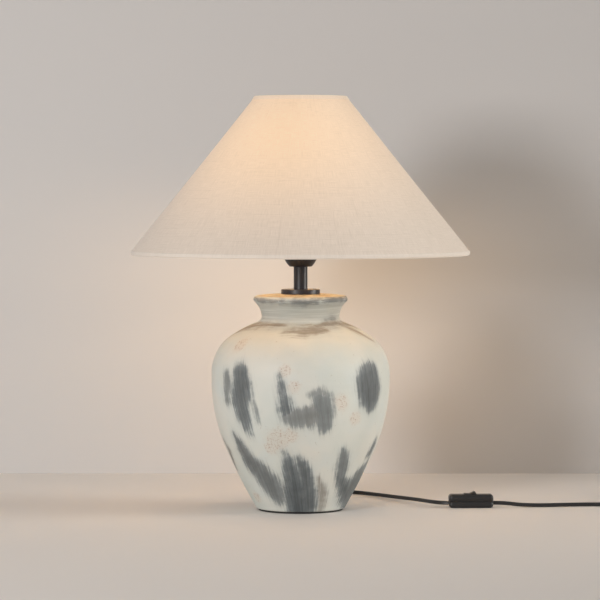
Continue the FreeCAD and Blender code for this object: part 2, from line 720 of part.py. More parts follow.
# ---- bulb -------------------------------------------------------------------------------
def bulb():
    keep(cylinder("tip", bulb_tip_radius, bulb_tip_height, (0, 0, tip_z)), "bulb_tip_contact")
    inner = bulb_cap_radius - bulb_cap_wall - seat_gap
    hole = bulb_tip_radius + seat_gap
    insulator_top = tip_z + bulb_tip_height
    keep(turned("insulator", [
        (hole, tip_z + seat_gap * 10), (hole * 2, tip_z + seat_gap * 10), (inner, bulb_cap_z),
        (inner, insulator_top), (hole, insulator_top)]), "bulb_insulator")
    keep(washer("screw_cap", bulb_cap_radius, bulb_cap_radius - bulb_cap_wall, bulb_cap_z,
                bulb_cap_height), "bulb_screw_cap")
    neck_z = bulb_neck_z + bulb_neck_rise
    board_z = globe_seat_z - board_thickness
    ledge = board_radius - globe_wall
    keep(turned("collar", [
        (inner - globe_wall, bulb_neck_z - bulb_spigot), (inner, bulb_neck_z - bulb_spigot),
        (inner, bulb_neck_z), (bulb_cap_radius, bulb_neck_z), (bulb_neck_radius, neck_z, CURVE_BULB),
        (globe_seat_radius, globe_seat_z), (board_radius + seat_gap, globe_seat_z),
        (board_radius + seat_gap, board_z), (ledge, board_z),
        (bulb_neck_radius - globe_wall, neck_z), (inner - globe_wall, bulb_neck_z)]), "bulb_collar")
    board = cylinder("board", board_radius, board_thickness, (0, 0, board_z))

    def led(k, spin):
        way = spin.multVec(V(1, 0, 0))
        return cylinder(f"led_{k}", led_radius, led_height,
                        (led_circle_radius * way.x, led_circle_radius * way.y, globe_seat_z))

    keep(fuse("board_with_leds", board, *around(led_count, led)), "bulb_led_board")
    rise = root(globe_radius * globe_radius - globe_seat_radius * globe_seat_radius)
    centre_z = globe_seat_z + rise
    within = globe_radius - globe_wall
    inner_seat = root(within * within - rise * rise)
    top = centre_z + globe_radius
    bend = math.tan((math.pi / 2 + math.asin(rise.value / globe_radius.value)) / 4)
    inner_bend = math.tan((math.pi / 2 + math.asin(rise.value / within.value)) / 4)
    keep(turned("globe", [
        (globe_seat_radius, globe_seat_z, bend), (0, top), (0, top - globe_wall, -inner_bend),
        (inner_seat, globe_seat_z)]), "bulb_globe")


# ---- inner lead -------------------------------------------------------------------------
def inner_lead():
    exit_z, top = cord_exit_height.value, rod_engagement.value + seat_z.value - 1
    radius = cord_radius.value
    keep(route_tube("inner_route", [
        V(0, bush_reach.value, exit_z), V(0, 29, exit_z), V(0, 9, exit_z + 42),
        V(0, 0, exit_z + 110), V(0, 0, top)], radius), "inner_cord")
    passage = cap_inner_z.value + block_skirt_rise.value / 2
    end = contact_z.value - terminal_shank_length.value - seat_gap.value
    spread = core_radius.value * 1.6
    for name, to in (("live", V(-live_screw_offset.value, 0, end)),
                     ("neutral", V(0, side_screw_offset.value, end))):
        way = V(to.x, to.y, 0).normalize()
        start = way * spread
        low, out = V(start.x, start.y, passage - 0.6), V(to.x, to.y, passage + 0.4)
        keep(route_tube(name + "_route", [V(start.x, start.y, top), low, out, to], core_radius.value),
             name + "_core")


# ---- inline switch ----------------------------------------------------------------------
def in_switch():
    return FreeCAD.Placement(SWITCH_CENTRE, FreeCAD.Rotation(V(0, 0, 1), SWITCH_YAW))


def rounded_case(name, z, height, edge_at):
    """A block with its four upright corners and its outer rim rounded, from z up."""
    x, y = switch_length / 2, switch_width / 2
    body = padded(name, [(-x, -y), (x, -y), (x, y), (-x, y)], height)
    rounded(body, switch_corner, lambda middle, way: abs(way.z) > 0.9)
    rounded(body, switch_edge, lambda middle, way: abs(middle.z - edge_at) < 0.01)
    return place(body, (0, 0, z))


def switch_case():
    cavity_x, cavity_y = switch_length - switch_wall * 2, switch_width - switch_wall * 2
    entries = cylinder("cord_entries", cord_radius + seat_gap, switch_length * 2,
                       (-switch_length, 0, switch_entry_height), ALONG_X)
    lower = cut("base_open", rounded_case("base_case", 0, switch_split, 0),
                fuse("base_tools", box("base_cavity", cavity_x, cavity_y, switch_split,
                                       (0, 0, switch_wall)), entries))
    screw_ways = [(-screw_offset, "left"), (screw_offset, "right")]
    posts = [cylinder(f"{side}_post", post_radius, switch_split - switch_wall - seat_gap,
                      (x, post_offset(), switch_wall - seat_gap)) for x, side in screw_ways]
    heads = [cylinder(f"{side}_counterbore", screw_head_radius + seat_gap, screw_head_height,
                      (x, post_offset(), 0)) for x, side in screw_ways]
    ways = [cylinder(f"{side}_screw_way", screw_radius + seat_gap, switch_height,
                     (x, post_offset(), -switch_wall)) for x, side in screw_ways]
    keep(cut("base_shell", fuse("base_posted", lower, *posts), fuse("screw_tools", *heads, *ways)),
         "switch_base", in_switch())

    rise = switch_height - switch_split
    shell = cut("cover_open", rounded_case("cover_case", switch_split, rise, rise.value),
                box("cover_cavity", cavity_x, cavity_y, rise, (0, 0, switch_split - switch_wall)))
    window = rocker_sweep_radius * 2 + clearance * 2
    cheek_y = rocker_width / 2 + clearance + cheek_thickness / 2
    roof_z = switch_height - switch_wall
    cheeks = [box(f"cheek_{side}", window, cheek_thickness, cheek_depth + seat_gap,
                  (rocker_offset, cheek_y * side, roof_z - cheek_depth)) for side in (-1, 1)]
    bosses = [cylinder(f"{side}_boss", post_radius, roof_z - switch_split + seat_gap,
                       (x, post_offset(), switch_split)) for x, side in screw_ways]
    opening = box("rocker_window", window, rocker_width + clearance * 2, switch_wall * 3,
                  (rocker_offset, 0, roof_z - switch_wall))
    pin_hole = cylinder("pin_holes", pin_radius + pin_clearance, rocker_width + cheek_thickness * 2,
                        (rocker_offset, -rocker_width / 2 - cheek_thickness, switch_pivot_z), ALONG_Y)
    screw_holes = [cylinder(f"{side}_pilot", screw_radius + seat_gap, screw_length - switch_split + 3,
                            (x, post_offset(), switch_split - 1)) for x, side in screw_ways]
    keep(cut("cover_shell", fuse("cover_solid", shell, *cheeks, *bosses),
             fuse("cover_tools", opening, pin_hole, *screw_holes)), "switch_cover", in_switch())
    screws = [fuse(f"{side}_screw_solid",
                   cylinder(f"{side}_screw_head", screw_head_radius, screw_head_height - seat_gap,
                            (x, post_offset(), seat_gap)),
                   cylinder(f"{side}_screw_shank", screw_radius, screw_length,
                            (x, post_offset(), seat_gap))) for x, side in screw_ways]
    keep(group("case_screws", *screws), "switch_screws", in_switch())


def post_offset():
    """The screws stand beside the cord entries, near the rear wall of the case."""
    return switch_width / 2 - switch_wall - post_radius + seat_gap


def switch_inside():
    """The broken live strips, with a riser under each end of the rocker, and the neutral."""
    strips = []
    for side in (-1, 1):
        middle = rocker_offset + (strip_gap + strip_length) / 2 * side
        strips.append(fuse(f"strip_{side + 1}",
                           box(f"strip_flat_{side + 1}", strip_length, strip_width, strip_thickness,
                               (middle, 0, switch_wall)),
                           box(f"strip_riser_{side + 1}", strip_thickness * 2, strip_width,
                               strip_post_height, (middle + strip_length / 4 * side, 0, switch_wall))))
    keep(group("strips", *strips), "switch_contacts", in_switch())
    y = -(switch_width / 2 - switch_wall - core_radius * 2)
    wire = cylinder("neutral_wire", core_radius, switch_length - switch_wall * 4,
                    (switch_wall * 2 - switch_length / 2, y, switch_wall + core_radius), ALONG_X)
    keep(group("neutral", wire), "switch_neutral_core", in_switch())


def rocker():
    """A rocker whose ends follow a circle about its pivot, so that it clears its window."""
    reach = rocker_sweep_radius
    corner = math.radians(ROCKER_CORNER_ANGLE)
    high, low = (math.cos(corner), math.sin(corner)), math.radians(-15)
    bend = math.tan((corner - low) / 4)
    foot = rocker_foot_half
    body = padded("rocker_shape", [
        (0, rocker_dip), (-reach * high[0], reach * high[1], bend),
        (-reach * math.cos(low), reach * math.sin(low)), (-foot, -rocker_foot_depth),
        (foot, -rocker_foot_depth), (reach * math.cos(low), reach * math.sin(low), bend),
        (reach * high[0], reach * high[1])], rocker_width, "XZ_Plane")
    pins = cylinder("rocker_pins", pin_radius, rocker_width + pin_length * 2,
                    (0, -rocker_width / 2 - pin_length, 0), ALONG_Y)
    tilt = FreeCAD.Placement(V(rocker_offset.value, 0, switch_pivot_z.value),
                             FreeCAD.Rotation(V(0, 1, 0), -ROCKER_TILT))
    keep(fuse("rocker_solid", body, pins), "switch_rocker", in_switch().multiply(tilt))


# ---- plug -------------------------------------------------------------------------------
def plug():
    """A flat two-pin plug lying on its side, its pins towards +Y."""
    entry = PLUG_ENTRY + V(0, 0, plug_thickness.value / 2)
    wide, narrow = plug_width / 2, plug_waist / 2
    back, face = plug_sleeve, plug_sleeve + plug_depth
    body = padded("plug_shape", [
        (-narrow, back), (narrow, back), (wide, face - plug_shoulder), (wide, face),
        (-wide, face), (-wide, face - plug_shoulder)], plug_thickness)
    rounded(body, plug_edge, lambda middle, way: middle.y < back.value + plug_depth.value - 0.1)
    place(body, (0, 0, -plug_thickness / 2))
    sleeve = cone("plug_relief", plug_sleeve_tip_radius, plug_sleeve_radius, plug_sleeve,
                  (0, 0, 0), ALONG_Y)
    spans = [(-1, "left"), (1, "right")]
    shank = plug_pin_radius - pin_sleeve_wall
    sockets = [cylinder(f"{side}_socket", shank + seat_gap, pin_root,
                        (plug_pin_spacing / 2 * k, face - pin_root, 0), ALONG_Y) for k, side in spans]
    bore = cylinder("plug_cord_bore", cord_radius + seat_gap, plug_sleeve,
                    (0, -plug_sleeve / 2, 0), ALONG_Y)
    here = FreeCAD.Placement(entry, FreeCAD.Rotation())
    keep(cut("plug_hollow", fuse("plug_solid", body, sleeve), fuse("plug_tools", bore, *sockets)),
         "plug_body", here)
    bare = face + pin_sleeve_length
    pins = [fuse(f"{side}_pin",
                 cylinder(f"{side}_shank", shank, pin_root + plug_pin_reach - seat_gap,
                          (plug_pin_spacing / 2 * k, face - pin_root + seat_gap, 0), ALONG_Y),
                 cylinder(f"{side}_tip", plug_pin_radius, plug_pin_reach - pin_sleeve_length,
                          (plug_pin_spacing / 2 * k, bare, 0), ALONG_Y))
            for k, side in spans]
    keep(group("pins", *pins), "plug_pins", here)
    sleeves = [cut(f"{side}_sleeve",
                   cylinder(f"{side}_sleeve_blank", plug_pin_radius - seat_gap * 2,
                            pin_sleeve_length, (plug_pin_spacing / 2 * k, face, 0), ALONG_Y),
                   cylinder(f"{side}_sleeve_bore", shank, pin_sleeve_length * 2,
                            (plug_pin_spacing / 2 * k, face - pin_sleeve_length / 2, 0), ALONG_Y))
               for k, side in spans]
    keep(group("sleeves", *sleeves), "plug_pin_sleeves", here)


# ---- lead: to the switch, to the coil, the coil, its tie and the tail --------------------
def lead():
    radius = cord_radius.value
    half = in_switch().Rotation.multVec(V(switch_length.value / 2, 0, 0))
    entry = V(0, 0, switch_entry_height.value)
    keep(route_tube("first_route", [
        V(0, bush_reach.value, cord_exit_height.value), V(0, 112, cord_exit_height.value),
        V(2.5, 134, 9.5), V(9, 158, 4.4), V(22, 184, 2.8), V(46, 201, 2.8), V(70, 199, 2.8), V(88, 186, 2.8),
        V(105, 165, 3.0), V(132, 120, 4.2), V(158, 79, 5.4), V(172.6, 55.8, 5.8),
        V(181, 40.5, 6.0), V(187.2, 31.2, 6.2), V(193.4, 24.8, 6.3), V(199.6, 21, 6.4),
        SWITCH_CENTRE - half + entry], radius), "cord_to_switch")
    coil_place = FreeCAD.Placement(COIL_CENTRE, FreeCAD.Rotation())
    near, far = coil_radius - coil_width / 2, coil_radius + coil_width / 2
    low, high = tie_thickness + seat_gap, tie_thickness + seat_gap + coil_height
    keep(turned("coil_ring", [
        (near + coil_edge, low), (far - coil_edge, low, CURVE_ROUND), (far, low + coil_edge),
        (far, high - coil_edge, CURVE_ROUND), (far - coil_edge, high), (near + coil_edge, high, CURVE_ROUND),
        (near, high - coil_edge), (near, low + coil_edge, CURVE_ROUND)]), "cord_coil", coil_place)
    doc.recompute()
    coil = pieces[-1].Shape
    keep(route_tube("second_route", [
        SWITCH_CENTRE + half + entry, V(282, 23.1, 6.2), V(300, 23.6, 3.8), V(320, 23.4, 2.8),
        V(345, 25, 2.8), V(372, 31, 2.8), V(400, 35, 2.8), V(425, 33.6, 2.8), V(447, 33.8, 2.8),
        V(464, 34.6, 2.8)], radius, coil), "cord_to_coil")
    keep(route_tube("tail_route", [
        V(513.2, 78, 2.8), V(512.6, 92, 3.2), V(508.5, 109, 4.6), V(502.5, 122.5, 6.2),
        PLUG_ENTRY + V(0, 0, plug_thickness.value / 2)], radius, coil), "cord_tail")
    span, tall = coil_width + clearance * 3, coil_height + seat_gap * 2
    outer = box("tie_outer", span + tie_thickness * 2, tie_width, tall + tie_thickness * 2 - seat_gap,
                (coil_radius, 0, 0))
    hollow = box("tie_hollow", span, tie_width * 2, tall - seat_gap, (coil_radius, 0, tie_thickness))
    keep(cut("tie_band", outer, hollow), "coil_tie",
         FreeCAD.Placement(COIL_CENTRE, FreeCAD.Rotation(V(0, 0, 1), TIE_ANGLE)))


vase_outline = vase()
bush(vase_outline)
rod_stack()
metal_stack()
holder()
shade()
shade_ring()
bulb()
inner_lead()
switch_case()
switch_inside()
rocker()
plug()
lead()
doc.recompute()

faulty = [o.Name for o in doc.Objects if "Invalid" in o.State or "Error" in o.State]
faulty += [o.Label for o in pieces if o.Shape.isNull() or not o.Shape.isValid()]
if faulty:
    raise SystemExit("faulty: " + " ".join(faulty))
for piece in pieces:
    piece.Shape.exportStep(f"parts/{piece.Label}.step")
print(len(pieces), "pieces written")
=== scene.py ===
# Table lamp with shade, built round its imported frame. Metres, +Z up, the lead leaving towards +Y.
import math
import random

import bmesh
import bpy
from mathutils import Matrix, Vector, noise


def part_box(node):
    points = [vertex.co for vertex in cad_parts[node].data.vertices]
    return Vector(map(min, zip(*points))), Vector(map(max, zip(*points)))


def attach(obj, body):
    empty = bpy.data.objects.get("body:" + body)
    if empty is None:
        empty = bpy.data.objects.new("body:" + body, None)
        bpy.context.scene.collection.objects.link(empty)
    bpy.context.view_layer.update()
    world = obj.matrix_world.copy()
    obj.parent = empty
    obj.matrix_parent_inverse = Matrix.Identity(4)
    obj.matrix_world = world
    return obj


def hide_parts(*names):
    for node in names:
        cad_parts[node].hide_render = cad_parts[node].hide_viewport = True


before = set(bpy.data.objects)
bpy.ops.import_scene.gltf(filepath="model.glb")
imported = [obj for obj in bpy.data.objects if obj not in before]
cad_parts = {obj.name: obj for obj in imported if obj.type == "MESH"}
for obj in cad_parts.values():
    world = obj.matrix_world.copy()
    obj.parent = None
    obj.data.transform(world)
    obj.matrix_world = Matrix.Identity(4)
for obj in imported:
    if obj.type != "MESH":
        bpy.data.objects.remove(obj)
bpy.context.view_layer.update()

MM = 0.001


# ---- Studio ------------------------------------------------------------------------------
# A pale table top with a plain warm wall behind it, one large soft light from the left, a weaker
# one from the right, a warm spot that stands in for the lamp's own light on the wall, and a long
# lens a little above the shade's lower edge.
class Wire:
    """A shader socket that takes part in Python arithmetic."""

    def __init__(self, finish, socket):
        self.finish = finish
        self.socket = socket

    def calc(self, operation, *values):
        return self.finish.node("Math", dict(enumerate(values)), operation=operation)

    def __add__(self, other):
        return self.calc("ADD", self, other)

    def __sub__(self, other):
        return self.calc("SUBTRACT", self, other)

    def __rsub__(self, other):
        return self.calc("SUBTRACT", other, self)

    def __mul__(self, other):
        return self.calc("MULTIPLY", self, other)

    def __truediv__(self, other):
        return self.calc("DIVIDE", self, other)

    __radd__ = __add__

    def lift(self, low, high):
        """0 below low and 1 above high, with a smooth rise between them."""
        return self.finish.node("MapRange", {"Value": self, "From Min": low, "From Max": high},
                                interpolation_type="SMOOTHSTEP")


class Finish:
    """A material and its nodes, made by one method."""

    def __init__(self, name):
        self.material = bpy.data.materials.new(name)
        self.material.use_nodes = True
        self.tree = self.material.node_tree
        self.tree.nodes.clear()

    def node(self, kind, sockets=None, out=0, **settings):
        new = self.tree.nodes.new("ShaderNode" + kind)
        for key, value in settings.items():
            setattr(new, key, value)
        for key, value in (sockets or {}).items():
            if isinstance(value, Wire):
                self.tree.links.new(value.socket, new.inputs[key])
            else:
                new.inputs[key].default_value = value
        return Wire(self, new.outputs[out]) if len(new.outputs) else None

    def place(self):
        return self.node("TexCoord", out="Object")

    def stretched(self, scale, source=None):
        return self.node("Mapping", {"Vector": source or self.place(), "Scale": scale})

    def noise(self, scale, detail=2.0, source=None, rough=0.5):
        return self.node("TexNoise", {"Vector": source or self.place(), "Scale": scale,
                                      "Detail": detail, "Roughness": rough})

    def blend(self, share, low, high):
        colours = {6: low, 7: high}
        padded = {k: v if isinstance(v, Wire) else (*v, 1.0) for k, v in colours.items()}
        return self.node("Mix", {0: share, **padded}, out=2, data_type="RGBA")

    def bump(self, height, depth, under=None):
        sockets = {"Height": height, "Distance": depth, "Strength": 1.0}
        if under:
            sockets["Normal"] = under
        return self.node("Bump", sockets)

    def surface(self, colour, rough=0.5, **more):
        """Ends the nodes in the main shader. Names are the shader's own, with _ for a space."""
        fill = {"Base Color": colour if isinstance(colour, Wire) else (*colour, 1.0),
                "Roughness": rough}
        fill.update({key.replace("_", " "): value for key, value in more.items()})
        self.finish_with(self.node("BsdfPrincipled", fill))

    def finish_with(self, shader):
        self.node("OutputMaterial", {"Surface": shader})


def from_bmesh(name, bm, finish, sharp=35):
    """An object at the origin with the bmesh's shape, smooth apart from its sharp edges."""
    mesh = bpy.data.meshes.new(name)
    bm.to_mesh(mesh)
    bm.free()
    mesh.shade_smooth()
    mesh.set_sharp_from_angle(angle=math.radians(sharp))
    mesh.materials.append(finish.material)
    obj = bpy.data.objects.new(name, mesh)
    bpy.context.collection.objects.link(obj)
    return obj


WALL_BEHIND = 0.495
STUDIO_HALF = 5.0


def plain_wall(name, colour, turn, middle):
    """A flat sheet of the studio that shows from its front only."""
    finish = Finish(name)
    mottle = finish.noise(3.0, 3.0)
    shade = finish.blend(mottle, [c * 0.985 for c in colour], [min(1, c * 1.015) for c in colour])
    solid = finish.node("BsdfPrincipled", {"Base Color": shade, "Roughness": 0.75})
    behind = finish.node("NewGeometry", out="Backfacing")
    clear = finish.node("BsdfTransparent")
    finish.finish_with(finish.node("MixShader", {0: behind, 1: solid, 2: clear}))
    bm = bmesh.new()
    bmesh.ops.create_grid(bm, x_segments=1, y_segments=1, size=STUDIO_HALF)
    bmesh.ops.transform(bm, matrix=Matrix.Translation(middle) @ turn, verts=bm.verts)
    obj = from_bmesh(name, bm, finish)


plain_wall("table_top", (0.76, 0.725, 0.690), Matrix.Identity(4), Vector((0, 0, -0.0002)))
plain_wall("backdrop", (0.56, 0.545, 0.535), Matrix.Rotation(math.pi / 2, 4, "X"),
           Vector((0, WALL_BEHIND, 0)))

CAMERA_AWAY, CAMERA_HIGH, CAMERA_TILT, LENS = 4.10, 0.46, 2.393, 179.0
camera = bpy.data.objects.new("camera", bpy.data.cameras.new("camera"))
camera.data.lens, camera.data.sensor_width = LENS, 36.0
camera.location = (-0.0008, -CAMERA_AWAY, CAMERA_HIGH)
camera.rotation_euler = (math.radians(90 - CAMERA_TILT), 0, 0)
bpy.context.collection.objects.link(camera)
bpy.context.scene.camera = camera
bpy.context.scene.view_settings.view_transform = "Standard"


def soft_light(name, watts, size, colour, stand, aim, spread=180):
    lamp = bpy.data.lights.new(name, "AREA")
    lamp.energy, lamp.size, lamp.color, lamp.spread = watts, size, colour, math.radians(spread)
    obj = bpy.data.objects.new(name, lamp)
    obj.location = stand
    obj.rotation_euler = (Vector(aim) - Vector(stand)).to_track_quat("-Z", "Y").to_euler()
    bpy.context.collection.objects.link(obj)


soft_light("key", 63, 0.75, (1.0, 0.985, 0.98), (-1.85, -2.9, 0.85), (0.0, 0.1, 0.25))
soft_light("side_fill", 5.0, 1.2, (1.0, 0.96, 0.90), (2.6, -0.35, 0.75), (0.05, -0.15, 0.28), 50)
wall_wash = bpy.data.lights.new("wall_wash", "SPOT")
wall_wash.energy, wall_wash.color, wall_wash.shadow_soft_size = 3.3, (1.0, 0.60, 0.24), 0.05
wall_wash.spot_size, wall_wash.spot_blend = math.radians(128), 1.0
washer = bpy.data.objects.new("wall_wash", wall_wash)
washer.location, washer.rotation_euler = (0, 0.07, 0.325), (math.radians(97), 0, 0)
bpy.context.collection.objects.link(washer)
world = bpy.data.worlds.new("studio")
world.use_nodes = True
world.node_tree.nodes["Background"].inputs["Color"].default_value = (1.0, 0.95, 0.90, 1)
world.node_tree.nodes["Background"].inputs["Strength"].default_value = 0.37
bpy.context.scene.world = world


# ---- Foot pad ----------------------------------------------------------------------------
# A ring of black closed-cell foam glued under the foot, which shows as a thin dark line
# where the vase stands on the table.
def paint(finish, *nodes):
    """Gives CAD nodes that keep their own shape a finish."""
    for name in nodes:
        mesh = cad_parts[name].data
        mesh.materials.clear()
        mesh.materials.append(finish.material)


foam = Finish("foam")
cells = foam.noise(900, 2.0)
foam.surface(foam.blend(cells, (0.012, 0.012, 0.012), (0.035, 0.034, 0.033)), 0.9,
             Normal=foam.bump(cells, 0.2 * MM))
paint(foam, "base_pad")


# ---- Vase --------------------------------------------------------------------------------
# Thrown stoneware with a matt off-white glaze. The outside is brushed by hand with blue-grey
# slip in loose upright strokes, and the neck is washed grey. The rod is clamped in its top.
def curved(outline, step=4 * MM, closed=True):
    """The (r, z) points of an outline whose entries may end in a bulge, as in an arc's rise
    over half its chord, for the side that leaves the point."""
    points = []
    for (r, z, *bulge), (next_r, next_z, *_) in zip(outline, outline[1:] + outline[:1] * closed):
        chord = Vector((next_r - r, next_z - z))
        count = max(1, math.ceil(chord.length / step))
        half = 2 * math.atan(bulge[0]) if bulge else 0
        for i in range(count):
            along, off = i / count, 0.0
            if half:
                turn = half * (2 * along - 1)
                along = 0.5 + math.sin(turn) / (2 * math.sin(half))
                off = (math.cos(turn) - math.cos(half)) / (2 * math.sin(half))
            points.append((r + chord.x * along + chord.y * off,
                           z + chord.y * along - chord.x * off))
    return points if closed else points + [outline[-1][:2]]


def spun(outline, steps=96, closed=True):
    """A bmesh turned about Z from (r, z) points."""
    bm = bmesh.new()
    ring = [bm.verts.new((r, 0, z)) for r, z in outline]
    for a, b in zip(ring, ring[1:] + (ring[:1] if closed else [])):
        bm.edges.new((a, b))
    bmesh.ops.spin(bm, geom=bm.verts[:] + bm.edges[:], axis=(0, 0, 1), cent=(0, 0, 0),
                   angle=2 * math.pi, steps=steps, use_merge=True)
    bmesh.ops.remove_doubles(bm, verts=bm.verts, dist=1e-6)
    bmesh.ops.recalc_face_normals(bm, faces=bm.faces)
    return bm


def settle(obj, body, nodes):
    """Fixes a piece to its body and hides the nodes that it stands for."""
    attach(obj, body)
    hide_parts(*nodes)
    return obj


VASE_WALL = 6 * MM
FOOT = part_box("vase_body")[0].z
VASE_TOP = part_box("neck_disc")[0].z
LOW, BELLY, BAND, SHOULDER = 82.6 * MM, 180 * MM, 188 * MM, 238 * MM
CROWN, NECK, LIP, EDGE = 258.4 * MM, 265 * MM, 286 * MM, 294.3 * MM
ROD_HOLE = 5.3 * MM
vase_outside = [
    (25 * MM, FOOT), (60.5 * MM, FOOT, 0.25), (62.6 * MM, 5.5 * MM, 0.025),
    (101.5 * MM, LOW, 0.107), (122.5 * MM, BELLY), (122.5 * MM, BAND, 0.232),
    (98 * MM, SHOULDER, 0.070), (60 * MM, CROWN, -0.22), (53.6 * MM, NECK, -0.205),
    (62.5 * MM, LIP, 0.62), (62.5 * MM, EDGE, 0.05), (26 * MM, VASE_TOP), (ROD_HOLE, VASE_TOP)]
vase_inside = [
    (ROD_HOLE, VASE_TOP - 7 * MM), (47.6 * MM, VASE_TOP - 7 * MM), (47.6 * MM, CROWN - 2 * MM),
    (92 * MM, SHOULDER - 5 * MM), (122.5 * MM - VASE_WALL, BAND), (122.5 * MM - VASE_WALL, BELLY),
    (96 * MM, LOW + 2.4 * MM), (56.6 * MM, FOOT + 6 * MM), (25 * MM, FOOT + 6 * MM)]

# Brush strokes: darkness, warmth, then points of degrees round from the front, height in mm and
# half width in mm.
FRONT_STROKES = [
    (0.85, 0, [(-43, 200, 7.8), (-42, 192, 13.7), (-41, 180, 16.8), (-41, 167, 17.4),
               (-42, 155, 14.7), (-41, 142, 11.9), (-40, 131, 9.6), (-39, 121, 7.3),
               (-37, 112, 3.1)]),
    (0.60, 0.1, [(-55, 192, 5.0), (-54, 182, 7.7), (-54, 170, 7.7), (-54, 157, 6.2),
                 (-53, 151, 2.7)]),
    (0.25, 0, [(-32, 156, 2.4), (-30, 143, 3.8), (-29, 130, 1.9)]),
    (0.95, 0, [(-14, 193, 1.7), (-12, 181, 4.2), (-12, 169, 5.2), (-10, 157, 7.1), (-10, 147, 9.2),
               (-10, 139, 5.4)]),
    (0.55, 0.1, [(-9, 135, 7.4), (-2, 135, 12.3), (4, 136, 13.5), (10, 139, 12.7)]),
    (0.60, 0, [(12, 162, 8.4), (14, 155, 13.9), (15, 145, 15.3), (16, 136, 13.7), (17, 125, 9.9),
               (17, 117, 4.7)]),
    (0.35, 0, [(7, 167, 4.9), (13, 170, 7.4), (18, 166, 4.9)]),
    (0.95, 0, [(50, 195, 14.5), (49, 185, 22.3), (50, 174, 24.2), (51, 164, 21.7), (51, 154, 13.8),
               (51, 148, 6.6)]),
    (0.85, 0.05, [(-54, 110, 2.5), (-51, 99, 6.7), (-49, 87, 9.8), (-46, 76, 12.2),
                  (-41, 64, 14.6)]),
    (0.75, 0.05, [(-41, 64, 13.3), (-36, 55, 16.0), (-31, 45, 16.2), (-27, 32, 13.4),
                  (-23, 20, 8.8)]),
    (0.95, 0, [(-12, 88, 2.1), (-10, 76, 7.1), (-8, 64, 10.4), (-6, 51, 13.6), (-5, 36, 16.1),
               (-4, 21, 17.3), (-3, 8, 15.2)]),
    (0.90, 0, [(-3, 81, 2.5), (0, 71, 7.0), (3, 58, 10.3), (5, 43, 12.4), (7, 27, 13.2),
               (10, 10, 12.1)]),
    (0.60, 0.5, [(16, 53, 1.7), (20, 42, 4.8), (23, 29, 5.6), (25, 18, 5.2), (26, 7, 4.1)]),
    (0.75, 0, [(33, 91, 2.4), (35, 81, 7.5), (36, 70, 9.2), (38, 60, 8.9), (39, 53, 7.3)]),
    (0.90, 0, [(36, 52, 4.0), (42, 43, 9.1), (50, 33, 11.6), (57, 24, 12.3), (69, 15, 8.2)]),
    (0.75, 0, [(69, 48, 18.3), (69, 37, 22.0), (71, 26, 21.8), (74, 15, 14.5), (87, 5, 6.2)]),
    (0.85, 0, [(71, 98, 3.7), (71, 90, 8.0), (70, 82, 8.5)]),
    (0.45, 0, [(74, 74, 3.9), (73, 63, 7.3), (72, 54, 12.6)]),
    (0.70, 0.4, [(-77, 97, 2.6), (-73, 85, 4.6), (-75, 73, 4.6), (-78, 59, 3.1)]),
    (0.75, 0.8, [(-87, 232, 1.2), (-87, 240, 3.2), (-87, 247, 4.4), (-72, 254, 4.2),
                 (-51, 257, 2.9), (-33, 257, 2.1), (-19, 257, 0.6)]),
    (0.70, 0.7, [(-16, 249, 1.0), (-7, 250, 2.7), (4, 249, 4.1), (14, 250, 4.5), (26, 252, 3.3)]),
    (0.70, 0.7, [(18, 255, 1.4), (32, 257, 2.5), (56, 258, 2.9), (77, 256, 2.9), (87, 253, 1.7)]),
    (0.60, 0.8, [(56, 255, 2.0), (61, 251, 3.8), (67, 245, 4.0), (70, 239, 2.3), (75, 234, 0.9)]),
    (0.90, 0.2, [(39, 264, 0.8), (51, 265, 2.0), (62, 265, 1.1)]),
    (0.95, 0.1, [(29, 290, 2.0), (38, 291, 4.8), (60, 291, 5.2), (82, 291, 4.5)]),
    (0.85, 0.1, [(-26, 288, 1.4), (-9, 288, 3.2), (6, 288, 3.6), (20, 289, 1.8)]),
    (0.55, 0.3, [(-80, 291, 2.4), (-58, 290, 3.6), (-40, 289, 3.0), (-30, 289, 1.4)]),
]
# Rust spots: degrees round from the front, height and spread in mm.
RUST_SPOTS = [(-16, 105, 15), (-22, 94, 8), (-10, 198, 8), (-4, 178, 8), (27, 156, 10),
              (39, 133, 9), (-50, 230, 9), (-57, 20, 8), (-7, 111, 9)]


# How far past a stroke its slip can reach, the least radius of the vase there, and the heights in
# mm above which a stroke runs level round the neck and below which it starts at the foot.
BRUSH_MARGIN = 14 * MM
SLIMMEST = 50 * MM
LEVEL_ABOVE = 225
FOOT_BELOW = 20


def around_the_back(strokes, seed):
    """Like strokes for the side away from the front, each a little moved and resized."""
    dice = random.Random(seed)
    turned = []
    for dark, warm, path in strokes:
        shift, lift, grow = dice.uniform(-8, 8), dice.uniform(-14, 14), dice.uniform(0.8, 1.2)
        if max(z for _, z, _ in path) > LEVEL_ABOVE or min(z for _, z, _ in path) < FOOT_BELOW:
            lift = 0
        turned.append((dark, warm, [(180 - 1.05 * a + shift, z + lift, w * grow)
                                    for a, z, w in path]))
    return turned


STROKES = FRONT_STROKES + around_the_back(FRONT_STROKES, 5)


